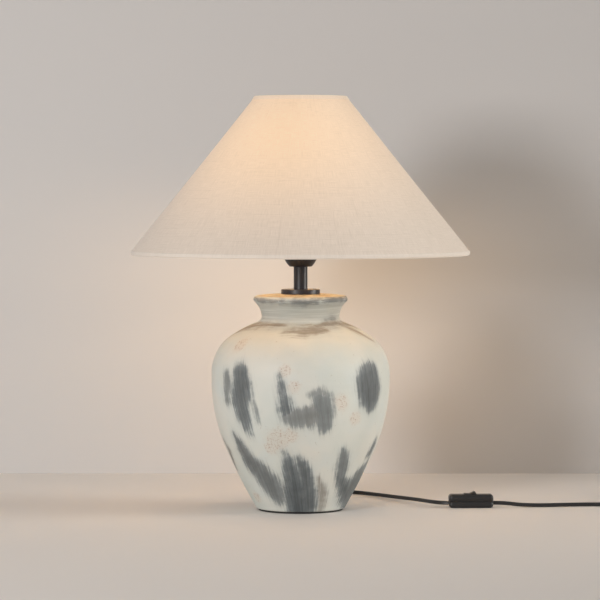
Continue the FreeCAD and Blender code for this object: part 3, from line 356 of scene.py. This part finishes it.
def prepared(strokes):
    """Each stroke with the band of heights and angles that it can colour, for speed."""
    ready = []
    for dark, warm, path in strokes:
        angles = [math.radians(a) for a, _, _ in path]
        widest = max(w for _, _, w in path) * MM + BRUSH_MARGIN
        low = min(z for _, z, _ in path) * MM - widest
        high = max(z for _, z, _ in path) * MM + widest
        middle = (min(angles) + max(angles)) / 2
        half = (max(angles) - min(angles)) / 2 + widest / SLIMMEST
        runs = [(a0, z0 * MM, w0 * MM, a1 - a0, (z1 - z0) * MM, (w1 - w0) * MM) for
                (a0, (_, z0, w0)), (a1, (_, z1, w1)) in
                zip(zip(angles, path), zip(angles[1:], path[1:]))]
        level = path[0][1] > LEVEL_ABOVE
        ready.append((low, high, middle, half, dark, warm, level, runs))
    return ready


def off_round(a, b):
    return (a - b + math.pi) % (2 * math.pi) - math.pi


BLEED = 3 * MM


def brushed(angle, radius, z):
    """What the slip does at a point: how far inside the strokes it is, the places across and
    along the bristle marks, and its darkness and warmth."""
    ink, place, dark, warm = -1.0, (angle * 0.11 + z * 0.15, z), 0.0, 0.0
    for low, high, middle, half, depth, brown, level, runs in READY_STROKES:
        if not low < z < high or abs(off_round(angle, middle)) > half:
            continue
        along = 0.0
        for a0, z0, w0, da, dz, dw in runs:
            x, y = radius * off_round(angle, a0), z - z0
            sx = radius * da
            length = math.hypot(sx, dz) or MM
            share = min(1.0, max(0.0, (x * sx + y * dz) / length ** 2))
            inside = w0 + dw * share - math.hypot(x - sx * share, y - dz * share)
            meet = max(0.0, BLEED - abs(inside - ink)) / BLEED
            if inside > ink:
                ink, dark, warm = inside, depth, brown
                if level:
                    place = ((x * dz - y * sx) / length + middle, along + length * share)
            ink += meet * meet * BLEED / 4
            along += length
    return ink, *place, dark, warm


READY_STROKES = prepared(STROKES)


def rust_at(angle, radius, z):
    """How much iron has bled into the glaze at a point."""
    spread = 0.0
    for a, height, size in RUST_SPOTS + [(180 - a, h, s) for a, h, s in RUST_SPOTS]:
        off = off_round(angle, math.radians(a)) * radius
        spread = max(spread, math.exp(-(off ** 2 + (z - height * MM) ** 2) / (size * MM) ** 2))
    return spread


def make_glaze():
    glaze = Finish("glaze")
    ink = glaze.node("Attribute", attribute_name="ink", out="Fac")
    brush = glaze.node("Attribute", attribute_name="brush", out="Vector")
    tone = glaze.node("Attribute", attribute_name="tone", out="Vector")
    parts = glaze.tree.nodes.new("ShaderNodeSeparateXYZ")
    glaze.tree.links.new(tone.socket, parts.inputs[0])
    dark, warm, rust = (Wire(glaze, parts.outputs[i]) for i in range(3))
    bristles = glaze.noise(1.0, 4.0, glaze.stretched((1300, 50, 1), brush), 0.65)
    lines = glaze.noise(1.0, 3.0, glaze.stretched((300, 11, 1), brush), 0.6)
    patch = glaze.noise(55, 4.0, rough=0.65)
    clouds = glaze.noise(9, 3.0, rough=0.55)
    drift = glaze.noise(26, 2.0)

    ragged = ink + (lines - 0.5) * 0.017 + (bristles - 0.5) * 0.012 + (patch - 0.5) * 0.012
    body = ragged.lift(-0.0040, 0.0040)
    halo = ragged.lift(-0.0105, 0.0015)
    streak = (lines * 1.3 + bristles * 1.1 + patch * 0.5 - 0.95).lift(0.05, 0.95)
    depth = (ragged * 55).lift(-0.1, 0.75) * (streak * 0.55 + 0.45)

    cream = glaze.blend(clouds.lift(0.35, 0.65), (0.550, 0.580, 0.540), (0.620, 0.620, 0.568))
    cream = glaze.blend(drift.lift(0.45, 0.75) * 0.5, cream, (0.550, 0.595, 0.580))
    stained = (rust + patch * 0.9 - 0.48).lift(0.02, 0.60)
    freckles = glaze.noise(390, 3.0, rough=0.8).lift(0.54, 0.62) * stained
    strays = glaze.noise(230, 2.0, rough=0.8).lift(0.71, 0.75)
    cream = glaze.blend(stained * 0.22, cream, (0.60, 0.44, 0.33))
    cream = glaze.blend(freckles * 0.58, cream, (0.32, 0.18, 0.11))
    cream = glaze.blend(strays * 0.6, cream, (0.24, 0.17, 0.12))
    wash = glaze.blend(warm, (0.160, 0.183, 0.192), (0.360, 0.305, 0.240))
    deep = glaze.blend(warm, (0.044, 0.053, 0.059), (0.215, 0.172, 0.120))
    slip = glaze.blend(depth * (dark * 0.6 + 0.45), wash, deep)
    colour = glaze.blend(halo * dark * 0.42, cream, (0.36, 0.39, 0.385))
    colour = glaze.blend(body * (dark * 0.35 + 0.62), colour, slip)

    height = glaze.node("SeparateXYZ", {0: glaze.place()}, out=2)
    on_neck = height.lift(NECK - 4 * MM, NECK) * (1.0 - height.lift(LIP - 2 * MM, LIP + 1 * MM))
    rings = glaze.noise(1.0, 3.0, glaze.stretched((14, 14, 420)), 0.6)
    colour = glaze.blend(on_neck * (rings * 1.3 - 0.12), colour, (0.30, 0.30, 0.265))
    on_lip = height.lift(LIP - 1 * MM, LIP + 2 * MM)
    worn = glaze.noise(1.0, 4.0, glaze.stretched((42, 42, 150)), 0.7)
    colour = glaze.blend(on_lip * worn.lift(0.50, 0.62) * 0.55, colour, (0.17, 0.165, 0.15))
    # The top face under the disc is painted a mottled orange-brown: the mottle is its own, and the
    # warmth is the bulb's warm light painted in.
    on_top = height.lift(EDGE - 0.1 * MM, EDGE + 0.7 * MM)
    top_mottle = glaze.noise(30, 4.0, rough=0.6).lift(0.42, 0.62)
    top_mottle_in_warm_light = glaze.blend(top_mottle, (0.53, 0.48, 0.35), (0.44, 0.29, 0.15))
    colour = glaze.blend(on_top * 0.80, colour, top_mottle_in_warm_light)

    peel = glaze.noise(240, 3.0)
    normal = glaze.bump(peel, 0.12 * MM)
    normal = glaze.bump(body * (bristles * 0.6 + 0.7), 0.18 * MM, normal)
    glaze.surface(colour, (0.50 + patch * 0.14) + body * 0.06, Normal=normal)
    return glaze


def make_vase():
    """One closed wall, fine enough outside for the strokes, a little uneven from the wheel."""
    low, high = vase_outside[1], vase_outside[-2]
    outside = curved([vase_outside[0], low], 60 * MM, closed=False)[:-1]
    outside += curved(vase_outside[1:-1], 2.4 * MM, closed=False)
    bm = spun(outside + [vase_outside[-1]] + curved(vase_inside, 22 * MM, closed=False), 400)
    ink = bm.verts.layers.float.new("ink")
    brush = bm.verts.layers.float_vector.new("brush")
    tone = bm.verts.layers.float_vector.new("tone")
    for v in bm.verts:
        radius, angle = math.hypot(v.co.x, v.co.y), math.atan2(v.co.x, -v.co.y)
        inside, across, along, dark, warm = brushed(angle, radius, v.co.z)
        v[ink], v[brush] = inside, (across, along, 0)
        v[tone] = (dark, warm, rust_at(angle, radius, v.co.z))
        if low[1] + 4 * MM < v.co.z < high[1] - 4 * MM and radius > 50 * MM:
            wave = noise.noise((v.co.x * 9, v.co.y * 9, v.co.z * 55)) * 0.30 * MM
            ring = noise.noise((0, 0, v.co.z * 260)) * 0.12 * MM
            v.co += Vector((v.co.x, v.co.y, 0)).normalized() * (wave + ring)
    return from_bmesh("vase", bm, glaze, 50)


glaze = make_glaze()
settle(make_vase(), "base", ["vase_body"])


# ---- Lead through the vase ---------------------------------------------------------------
# A black nylon bush grips the flat twin flex where it leaves the foot. Inside, the flex climbs
# to the rod, and its brown and blue cores part above the rod's top for the two terminals.
def moulded(name, colour, lighter, rough, grain, depth):
    """Moulded plastic or rubber: a fine even grain with faint cloudy differences."""
    finish = Finish(name)
    cloud = finish.noise(28, 3.0)
    fine = finish.noise(grain, 2.0)
    finish.surface(finish.blend(cloud * 0.6 + fine * 0.4, colour, lighter),
                   rough + (cloud - 0.5) * 0.12, Normal=finish.bump(fine, depth))
    return finish


nylon = moulded("nylon", (0.010, 0.010, 0.011), (0.024, 0.024, 0.026), 0.52, 1400, 0.05 * MM)
paint(nylon, "cord_bush")
flex = moulded("flex_sheath", (0.008, 0.008, 0.009), (0.020, 0.020, 0.022), 0.42, 900, 0.04 * MM)
paint(flex, "inner_cord")
brown_core = moulded("brown_core", (0.075, 0.028, 0.012), (0.11, 0.042, 0.018), 0.4, 900, 0.03 * MM)
paint(brown_core, "live_core")
blue_core = moulded("blue_core", (0.012, 0.040, 0.16), (0.018, 0.055, 0.21), 0.4, 900, 0.03 * MM)
paint(blue_core, "neutral_core", "switch_neutral_core")


# ---- Rod, nut and washers ----------------------------------------------------------------
# A zinc-plated hollow rod runs from under the vase's top to the holder. The nut and a steel
# washer on a rubber one pull the whole stack together.
zinc = Finish("zinc")
plating = zinc.noise(160, 4.0, rough=0.65)
zinc.surface(zinc.blend(plating, (0.44, 0.45, 0.46), (0.60, 0.60, 0.58)), plating * 0.22 + 0.24,
             Metallic=1.0, Normal=zinc.bump(plating, 0.05 * MM))
paint(zinc, "threaded_rod", "rod_nut", "steel_washer", "switch_screws", "bulb_tip_contact")
rubber = moulded("rubber", (0.012, 0.012, 0.012), (0.026, 0.025, 0.024), 0.8, 700, 0.08 * MM)
paint(rubber, "rubber_washer")


# ---- Neck disc, stem and cup -------------------------------------------------------------
# Satin black lacquered steel: a disc over the vase's mouth that rises a little round the stem's
# foot, a plain stem that hides the rod, and a deep-drawn cup round the lamp holder.
lacquer = Finish("black_lacquer")
mist = lacquer.noise(420, 3.0)
handled = lacquer.noise(35, 3.0)
lacquer.surface(lacquer.blend(mist, (0.012, 0.012, 0.017), (0.022, 0.022, 0.030)),
                handled * 0.12 + 0.34, Coat_Weight=handled * 0.2,
                Normal=lacquer.bump(mist, 0.02 * MM))


def turned(name, outline, finish, steps=96, sharp=35, step=2 * MM, closed=True):
    """A finished turned piece from an outline in mm."""
    points = curved([(p[0] * MM, p[1] * MM, *p[2:]) for p in outline], step, closed)
    return from_bmesh(name, spun(points, steps, closed), finish, sharp)


ROUND = 0.414
settle(turned("neck_plate", [
    (5.1, 297), (25.9, 297, ROUND), (26.7, 297.8), (26.7, 302.8, ROUND), (25.9, 303.6),
    (10.4, 303.6), (10.1, 303.3), (9.8, 303.3), (9.4, 302.5), (5.1, 302.5)],
    lacquer, step=0.5 * MM), "base", ["neck_disc"])
settle(turned("stem", [(8.5, 302.5), (9.5, 302.5), (9.5, 334.8), (8.5, 334.8)],
              lacquer, 64, step=8 * MM), "base", ["stem_tube"])
settle(turned("cup", [
    (5.1, 334.8), (14.9, 334.8, 0.3), (15.6, 335.2, 0.09), (22.5, 345.6), (22.5, 362.3, ROUND),
    (22.2, 362.8), (21.8, 362.8, ROUND), (21.5, 362.3), (21.5, 345.9, -0.09), (14.9, 335.8),
    (5.1, 335.8)], lacquer, 96, step=1.2 * MM), "base", ["socket_cup"])


# ---- Lamp holder -------------------------------------------------------------------------
# Black thermoset in two halves round a porcelain block with brass strips. The upper shell is
# threaded outside for the shade ring.
thermoset = moulded("thermoset", (0.010, 0.010, 0.011), (0.022, 0.022, 0.023), 0.36, 1200,
                    0.03 * MM)
paint(thermoset, "holder_cap")
porcelain = Finish("porcelain")
bisque = porcelain.noise(380, 4.0)
porcelain.surface(porcelain.blend(bisque, (0.66, 0.64, 0.59), (0.78, 0.76, 0.72)), 0.6,
                  Normal=porcelain.bump(bisque, 0.05 * MM))
paint(porcelain, "contact_block")
brass = Finish("brass")
rolled = brass.noise(1.0, 3.0, brass.stretched((90, 1200, 90)))
brass.surface(brass.blend(rolled, (0.52, 0.36, 0.13), (0.68, 0.50, 0.22)), rolled * 0.2 + 0.22,
              Metallic=1.0, Normal=brass.bump(rolled, 0.02 * MM))
paint(brass, "centre_contact", "side_contact", "terminal_screws", "switch_contacts")


def threaded(obj, radius, depth, pitch, low, high):
    """Cuts a screw thread into the wall that stands at a radius between two heights."""
    for v in obj.data.vertices:
        if abs(math.hypot(v.co.x, v.co.y) - radius) < 0.05 * MM and low < v.co.z < high:
            turn = math.sin(2 * math.pi * v.co.z / pitch - math.atan2(v.co.y, v.co.x))
            run_out = min(1.0, (v.co.z - low) / pitch, (high - v.co.z) / pitch)
            grow = 1 - depth * (0.5 - 0.5 * turn) * run_out / radius
            v.co.x, v.co.y = v.co.x * grow, v.co.y * grow
    return obj


def rows(radius, low, high, step):
    """Outline points up a wall, close enough to carry a thread, in mm."""
    count = math.ceil(abs(high - low) / step)
    return [(radius, low + (high - low) * i / count) for i in range(count + 1)]


shell = turned("holder_collar", [
    (13.6, 356.2), (17.4, 356.2), (17.4, 363), (22.6, 363), (23, 363.4), (23, 366.6), (22.6, 367),
    *rows(19.7, 367, 392, 0.45), (16.8, 392), (13.6, 386)], thermoset, 120, step=20 * MM)
threaded(shell, 19.7 * MM, 0.7 * MM, 2.8 * MM, 367.4 * MM, 391 * MM)
settle(shell, "base", ["holder_shell"])


# ---- Shade ring --------------------------------------------------------------------------
# The ring that screws down on the holder and clamps the shade's fitter, ribbed for fingers.
def make_shade_ring():
    points = curved([(r * MM, z * MM, *b) for r, z, *b in [
        (20, 369.2), (26.1, 369.2), (26.5, 369.5), (26.5, 370.9), (26.1, 371.2), (24.1, 371.2),
        (23.9, 371.5), (23.9, 376.4), (23.4, 377.2), (20.3, 377.2), (20, 376.9)]], 1.4 * MM)
    bm = spun(points, 192)
    for v in bm.verts:
        radius = math.hypot(v.co.x, v.co.y)
        if radius > 23 * MM and v.co.z > 371.3 * MM:
            flute = 0.5 - 0.5 * math.cos(24 * math.atan2(v.co.y, v.co.x))
            shrink = 1 - 0.75 * MM * flute ** 2 / radius
            v.co.x, v.co.y = v.co.x * shrink, v.co.y * shrink
    return from_bmesh("clamp_ring", bm, thermoset, 40)


settle(make_shade_ring(), "shade_ring", ["shade_ring"])


# ---- Shade -------------------------------------------------------------------------------
# Cream linen on a white lining, rolled into a cone, lapped at the back, and bound at both
# edges with folded tape over wire rings. Three arms hold it on the fitter.
COVER_LOW, COVER_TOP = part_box("shade_cover")[0].z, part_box("shade_cover")[1].z
WIDE, NARROW, FABRIC = 232 * MM, 63 * MM, 1.2 * MM
SLOPE = (WIDE - NARROW) / (COVER_TOP - COVER_LOW)
LEAN = math.hypot(1, SLOPE)
CLOTH_RADIUS = 0.15
LAP = 11 * MM


PATCH_MIDDLE, PATCH_REACH = (-0.035, -0.105, 0.505), 0.235


def linen_finish(name, light, dark, glow):
    """Plain woven linen from a UV map in metres, with slubs along both threads, and the bulb's
    light through the cloth painted in as glow.
    """
    linen = Finish(name)
    cloth = linen.node("UVMap", uv_map="cloth")
    warp = linen.noise(1.0, 2.0, linen.stretched((2300, 60, 1), cloth), 0.6)
    weft = linen.noise(1.0, 2.0, linen.stretched((60, 2300, 1), cloth), 0.6)
    slub_up = linen.noise(1.0, 2.0, linen.stretched((420, 9, 1), cloth), 0.5).lift(0.60, 0.78)
    slub_across = linen.noise(1.0, 2.0, linen.stretched((9, 420, 1), cloth), 0.5).lift(0.58, 0.76)
    threads = warp * 0.5 + weft * 0.5
    yarn = threads.lift(0.32, 0.68)
    cover = yarn - (slub_up + slub_across) * 0.35
    place = linen.place()
    height = linen.node("SeparateXYZ", {0: place}, out=2)
    sockets = {"Base Color": linen.blend(cover, dark, light), "Roughness": 0.88,
               "Sheen Weight": 0.25, "Sheen Roughness": 0.5,
               "Normal": linen.bump(threads + (slub_up + slub_across) * 0.5, 0.22 * MM)}
    # The bulb's light through the linen is painted in as glow: a lit patch round a fixed point a
    # little to the left of the front, on top of an even painted ring.
    away = linen.node("VectorMath", {0: place, 1: PATCH_MIDDLE}, out=1, operation="DISTANCE")
    near = 1.0 - (away / PATCH_REACH).lift(0.0, 1.0)
    ring = height.lift(0.36, 0.53) * (1.0 - height.lift(0.54, 0.60) * 0.35)
    painted_glow = near * 0.21 + ring * 0.16 + 0.05
    tint = linen.blend(near * 0.6 + ring * 0.4, (0.96, 0.50, 0.17), (1.0, 0.49, 0.08))
    thread_light = (cover * 0.14 + 0.86) * painted_glow
    sockets["Emission Color"] = linen.blend(thread_light, (0, 0, 0), tint)
    sockets["Emission Strength"] = glow
    linen.finish_with(linen.node("BsdfPrincipled", sockets))
    return linen


def lay_cloth(bm):
    """Cloth coordinates in metres: round the shade and up its slant."""
    uv = bm.loops.layers.uv.new("cloth")
    for face in bm.faces:
        middle = face.calc_center_median()
        centre = math.atan2(middle.x, -middle.y)
        for loop in face.loops:
            co = loop.vert.co
            angle = centre + off_round(math.atan2(co.x, -co.y), centre)
            loop[uv].uv = (angle * CLOTH_RADIUS, co.z * LEAN)


def make_cover():
    wall = FABRIC * LEAN
    points = curved([(WIDE - wall, COVER_LOW), (WIDE, COVER_LOW), (NARROW, COVER_TOP),
                     (NARROW - wall, COVER_TOP)], 9 * MM)
    bm = spun(points, 256)
    for v in bm.verts:
        if COVER_LOW + 3 * MM < v.co.z < COVER_TOP - 3 * MM:
            angle = math.atan2(v.co.x, -v.co.y)
            wave = noise.noise((math.sin(angle) * 1.7, math.cos(angle) * 1.7, v.co.z * 7))
            wave *= 0.5 * MM
            v.co += Vector((v.co.x, v.co.y, 0)).normalized() * wave
    lay_cloth(bm)
    return from_bmesh("shade_linen_cone", bm, linen, 50)


def make_lap():
    """The turned edge of the linen where it overlaps itself, up the back of the shade."""
    bm = bmesh.new()
    bmesh.ops.create_grid(bm, x_segments=4, y_segments=60, size=0.5)
    for v in bm.verts:
        share = v.co.y + 0.5
        radius = WIDE + (NARROW - WIDE) * share
        across, proud = v.co.x * LAP, (0.3 + 0.75 * (1 - (2 * abs(v.co.x)) ** 6)) * MM
        angle = across / radius
        v.co = Vector((-math.sin(angle) * (radius + proud), math.cos(angle) * (radius + proud),
                       COVER_LOW + 1 * MM + (COVER_TOP - COVER_LOW - 3 * MM) * share))
    bmesh.ops.recalc_face_normals(bm, faces=bm.faces)
    if bm.faces[:][0].normal.y < 0:
        bmesh.ops.reverse_faces(bm, faces=bm.faces)
    bmesh.ops.solidify(bm, geom=bm.faces[:], thickness=0.5 * MM)
    lay_cloth(bm)
    return from_bmesh("linen_lap", bm, linen, 60)


def make_hem(name, outline, steps, seed):
    """Folded tape, stitched or glued round an edge, with small waves in its fold."""
    points = curved([(r * MM, z * MM, *b) for r, z, *b in outline], 1.2 * MM)
    bm = spun(points, steps)
    for v in bm.verts:
        angle = math.atan2(v.co.x, -v.co.y)
        v.co += Vector((v.co.x, v.co.y, 0)).normalized() * (
            noise.noise((math.sin(angle) * 16, math.cos(angle) * 16, seed)) * 0.16 * MM)
    lay_cloth(bm)
    return from_bmesh(name, bm, tape, 50)


# Both fabrics carry the painted glow of the bulb's light, the tape a little less.
linen = linen_finish("linen", (0.70, 0.630, 0.560), (0.585, 0.520, 0.452), 1.0)
tape = linen_finish("hem_tape", (0.70, 0.645, 0.59), (0.60, 0.55, 0.49), 0.8)
cover = settle(make_cover(), "shade", ["shade_cover"])
lap = settle(make_lap(), "shade", [])
low_hem = settle(make_hem("lower_hem", [
    (230.9, 356.6), (232.1, 357.0, 0.3), (232.6, 356.4), (232.7, 352.4, 0.35), (231.6, 350.9),
    (227.6, 350.9, 0.35), (226.7, 351.8), (226.5, 355.6), (227.3, 355.6), (227.5, 352.3),
    (227.9, 351.8), (231.0, 351.9), (231.3, 352.6)], 256, 1), "shade", ["bottom_hem"])
high_hem = settle(make_hem("upper_hem", [
    (66.5, 563.2), (67.2, 563.2), (63.9, 568.2, 0.3), (61.8, 568.6), (59.6, 568.1, 0.3),
    (58.5, 566.4), (58.4, 563.0), (59.0, 563.0), (59.1, 565.7), (60.1, 567.3), (61.8, 567.9),
    (63.2, 567.9)], 160, 4),
    "shade", ["top_hem"])

wire_white = Finish("white_powder_coat")
powder = wire_white.noise(520, 3.0)
wire_white.surface(wire_white.blend(powder, (0.70, 0.69, 0.66), (0.80, 0.79, 0.76)), 0.42,
                   Normal=wire_white.bump(powder, 0.06 * MM))
paint(wire_white, "bottom_ring", "top_ring", "spider_arms")
settle(turned("fitter", [
    (20.3, 367.3), (20.6, 367), (26.7, 367), (27, 367.3), (27, 368.7), (26.7, 369), (20.6, 369),
    (20.3, 368.7)], wire_white, 96), "shade", ["fitter_ring"])


# ---- Bulb --------------------------------------------------------------------------------
# A round opal lamp: a plastic diffuser on a white heat-sinking neck, with a nickel-plated
# screw cap and a glassy insulator round its tip.
opal = Finish("opal")
milk = opal.noise(60, 3.0)
opal.surface(opal.blend(milk, (0.80, 0.76, 0.68), (0.86, 0.83, 0.77)), 0.34,
             Emission_Color=(1.0, 0.68, 0.36, 1.0), Emission_Strength=26.0)
settle(turned("globe", [
    (24, 411, 0.618), (0, 459), (0, 457.5, -0.6305), (22.3, 411)], opal, 96, step=2.4 * MM),
    "bulb", ["bulb_globe"])
white_plastic = moulded("white_plastic", (0.66, 0.65, 0.62), (0.74, 0.73, 0.70), 0.35, 1000,
                        0.02 * MM)
settle(turned("bulb_neck", [
    (11, 376), (12.5, 376), (12.5, 384), (13.2, 384), (15, 394, -0.12), (24, 411), (22.1, 411),
    (22.1, 409.4), (20.6, 409.4), (13.5, 394), (11, 384)], white_plastic, 96),
    "bulb", ["bulb_collar"])
nickel = Finish("nickel")
film = nickel.noise(90, 3.0)
nickel.surface(nickel.blend(film, (0.52, 0.50, 0.46), (0.64, 0.62, 0.58)), film * 0.16 + 0.18,
               Metallic=1.0, Normal=nickel.bump(film, 0.02 * MM))
CAP_BORE = 12.55 * MM
cap = turned("screw_cap_thread", [
    (12.6, 362), (12.9, 362), *rows(13.2, 362.6, 383, 0.4), (13.2, 384), (12.6, 384)],
    nickel, 96, step=30 * MM)
threaded(cap, 13.2 * MM, 1.0 * MM, 3.6 * MM, 362.8 * MM, 382.6 * MM)
for v in cap.data.vertices:
    radius = math.hypot(v.co.x, v.co.y)
    if radius < CAP_BORE:
        v.co.x, v.co.y = v.co.x * CAP_BORE / radius, v.co.y * CAP_BORE / radius
settle(cap, "bulb", ["bulb_screw_cap"])
mask = Finish("solder_mask")
on_chip = mask.node("SeparateXYZ", {0: mask.place()}, out=2).lift(411.85 * MM, 411.95 * MM)
mask.surface(mask.blend(on_chip, (0.78, 0.78, 0.75), (0.75, 0.55, 0.10)), 0.4,
             Normal=mask.bump(mask.noise(700, 2.0), 0.02 * MM))
paint(mask, "bulb_led_board")
vitrite = moulded("vitrite", (0.010, 0.009, 0.012), (0.024, 0.020, 0.028), 0.12, 200, 0.03 * MM)
paint(vitrite, "bulb_insulator")


# ---- Inline switch -----------------------------------------------------------------------
# Two screwed halves of black plastic with rounded corners, and a rocker in a window.
switch_plastic = moulded("switch_plastic", (0.011, 0.011, 0.012), (0.020, 0.020, 0.022), 0.34,
                         1500, 0.02 * MM)
paint(switch_plastic, "switch_rocker")
SWITCH_SIZE, SWITCH_ROUND, SWITCH_YAW = Vector((61.4, 20, 18.6)) * MM, 4.2 * MM, 2.5


def softened(name, node, middle, yaw, size, radius, finish):
    """A copy of a moulding whose outer edges are rounded to a larger radius."""
    upright = Matrix.Translation(middle) @ Matrix.Rotation(math.radians(yaw), 4, "Z")
    bm = bmesh.new()
    bm.from_mesh(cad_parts[node].data)
    bmesh.ops.remove_doubles(bm, verts=bm.verts, dist=1e-6)
    bmesh.ops.transform(bm, matrix=upright.inverted(), verts=bm.verts)
    bmesh.ops.dissolve_limit(bm, angle_limit=math.radians(0.5), verts=bm.verts, edges=bm.edges)
    core = size / 2 - Vector((radius,) * 3)
    for axis in range(3):
        for way in (-1, 1):
            for share in (0.0, 0.2, 0.4, 0.6, 0.8):
                along = Vector([way * (i == axis) for i in range(3)])
                bmesh.ops.bisect_plane(
                    bm, geom=bm.verts[:] + bm.edges[:] + bm.faces[:], dist=1e-7,
                    plane_co=along * (core[axis] + share * radius), plane_no=along)
    for v in bm.verts:
        over = Vector([math.copysign(max(0.0, abs(v.co[i]) - core[i]), v.co[i]) for i in range(3)])
        if over.length > radius:
            v.co += over * (radius / over.length - 1)
    bmesh.ops.triangulate(bm, faces=bm.faces)
    bmesh.ops.transform(bm, matrix=upright, verts=bm.verts)
    return from_bmesh(name, bm, finish, 40)


switch_middle = (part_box("switch_base")[0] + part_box("switch_base")[1]) / 2
switch_middle.z = SWITCH_SIZE.z / 2
switch_case = [
    settle(softened(name, node, switch_middle, SWITCH_YAW, SWITCH_SIZE, SWITCH_ROUND,
                    switch_plastic), "base", [node])
    for name, node in (("switch_lower_case", "switch_base"), ("switch_upper_case", "switch_cover"))]


# ---- Plug --------------------------------------------------------------------------------
# A flat two-pin plug moulded on the lead, lying on its side beside the tied lead.
plug_plastic = moulded("plug_plastic", (0.010, 0.010, 0.011), (0.022, 0.022, 0.024), 0.45, 1100,
                       0.04 * MM)
paint(plug_plastic, "plug_body", "plug_pin_sleeves")
paint(nickel, "plug_pins")
paint(nylon, "coil_tie")


# ---- Lead --------------------------------------------------------------------------------
# Flat black twin flex, always on its edge: from the vase to the switch, then to a tied coil
# of spare length beside the lamp, and out of the coil to the plug.
FLEX_WIDE, FLEX_THICK = 5.4 * MM, 3.2 * MM


def flex_section():
    """Two touching cores in one sheath: a figure of eight, standing upright."""
    data = bpy.data.curves.new("flex_section", "CURVE")
    spline = data.splines.new("POLY")
    lobe = FLEX_THICK / 2
    rise = FLEX_WIDE / 2 - lobe
    angles = [math.radians(-40 + 26 * i) for i in range(11)]
    points = [(lobe * math.cos(a), rise + lobe * math.sin(a)) for a in angles]
    points += [(-x, -y) for x, y in points]
    spline.points.add(len(points) - 1)
    for point, (x, y) in zip(spline.points, points):
        point.co = (x, y, 0, 1)
    spline.use_cyclic_u = True
    section = bpy.data.objects.new("flex_section", data)
    bpy.context.collection.objects.link(section)
    return section


def laid_flex(name, route, finish):
    """A length of flex along a smooth line, and the points of that line."""
    data = bpy.data.curves.new(name, "CURVE")
    data.dimensions, data.twist_mode, data.resolution_u = "3D", "Z_UP", 6
    spline = data.splines.new("NURBS")
    spline.points.add(len(route) - 1)
    for point, (x, y, z) in zip(spline.points, route):
        point.co = (x * MM, y * MM, z * MM, 1)
    spline.order_u, spline.use_endpoint_u = 3, True
    line = bpy.data.objects.new(name, data)
    bpy.context.collection.objects.link(line)
    path = [tuple(v.co) for v in bpy.data.meshes.new_from_object(line).vertices]
    section = flex_section()
    data.bevel_mode, data.bevel_object, data.use_fill_caps = "OBJECT", section, True
    bpy.context.view_layer.update()
    depsgraph = bpy.context.evaluated_depsgraph_get()
    mesh = bpy.data.meshes.new_from_object(line.evaluated_get(depsgraph))
    bpy.data.objects.remove(line)
    bpy.data.objects.remove(section)
    bm = bmesh.new()
    bm.from_mesh(mesh)
    bmesh.ops.remove_doubles(bm, verts=bm.verts, dist=1e-6)
    bmesh.ops.recalc_face_normals(bm, faces=bm.faces)
    return from_bmesh(name, bm, finish, 60), path


to_switch = [
    (0, 96, 14), (0, 112, 14), (2.5, 134, 9.5), (9, 158, 4.4), (22, 184, 2.8), (46, 201, 2.8),
    (70, 199, 2.8), (88, 186, 2.8), (105, 165, 3.0), (132, 120, 4.2), (158, 79, 5.4),
    (172.6, 55.8, 5.8), (181, 40.5, 6.0), (187.2, 31.2, 6.2), (193.4, 24.8, 6.3),
    (199.6, 21, 6.4), (205.33, 19.26, 6.4)]
COIL_CENTRE, COIL_OUT, COIL_IN, TURNS = (478, 70), 36.2, 27.8, 5.28
COIL_LOW, COIL_HIGH, PER_TURN = 2.8, 8.3, 14


def coil_points():
    """The tied turns: in along the lower layer, up at the inside, and out along the upper."""
    points, total = [], round(TURNS * PER_TURN)
    for i in range(1, total):
        share = i / total
        angle = math.radians(-90) + 2 * math.pi * TURNS * share
        radius = COIL_IN + (COIL_OUT - COIL_IN) * abs(2 * share - 1)
        step = min(1.0, max(0.0, (share - 0.47) / 0.06))
        points.append((COIL_CENTRE[0] + radius * math.cos(angle),
                       COIL_CENTRE[1] + radius * math.sin(angle),
                       COIL_LOW + (COIL_HIGH - COIL_LOW) * step * step * (3 - 2 * step)))
    return points


to_plug = [
    (266.67, 21.94, 6.4), (282, 23.1, 6.2), (300, 23.6, 3.8), (320, 23.4, 2.8), (345, 25, 2.8),
    (372, 31, 2.8), (400, 35, 2.8), (425, 33.6, 2.8), (447, 33.4, 2.8), (464, 33.4, 2.8),
    *coil_points(),
    (514.4, 80, 8.0), (513.6, 92, 6.4), (509.5, 108, 5.2), (502.8, 122, 6.2), (500, 134, 6.85)]
first, first_line = laid_flex("flex_to_switch", to_switch, flex)
second, second_line = laid_flex("flex_to_plug", to_plug, flex)
settle(first, "base", ["cord_to_switch"])
settle(second, "base", ["cord_to_coil", "cord_coil", "cord_tail"])
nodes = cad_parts
(switch_case + [nodes[n] for n in ("switch_screws", "switch_contacts",
                                                      "switch_neutral_core")])
[c * MM for c in to_plug[0]]
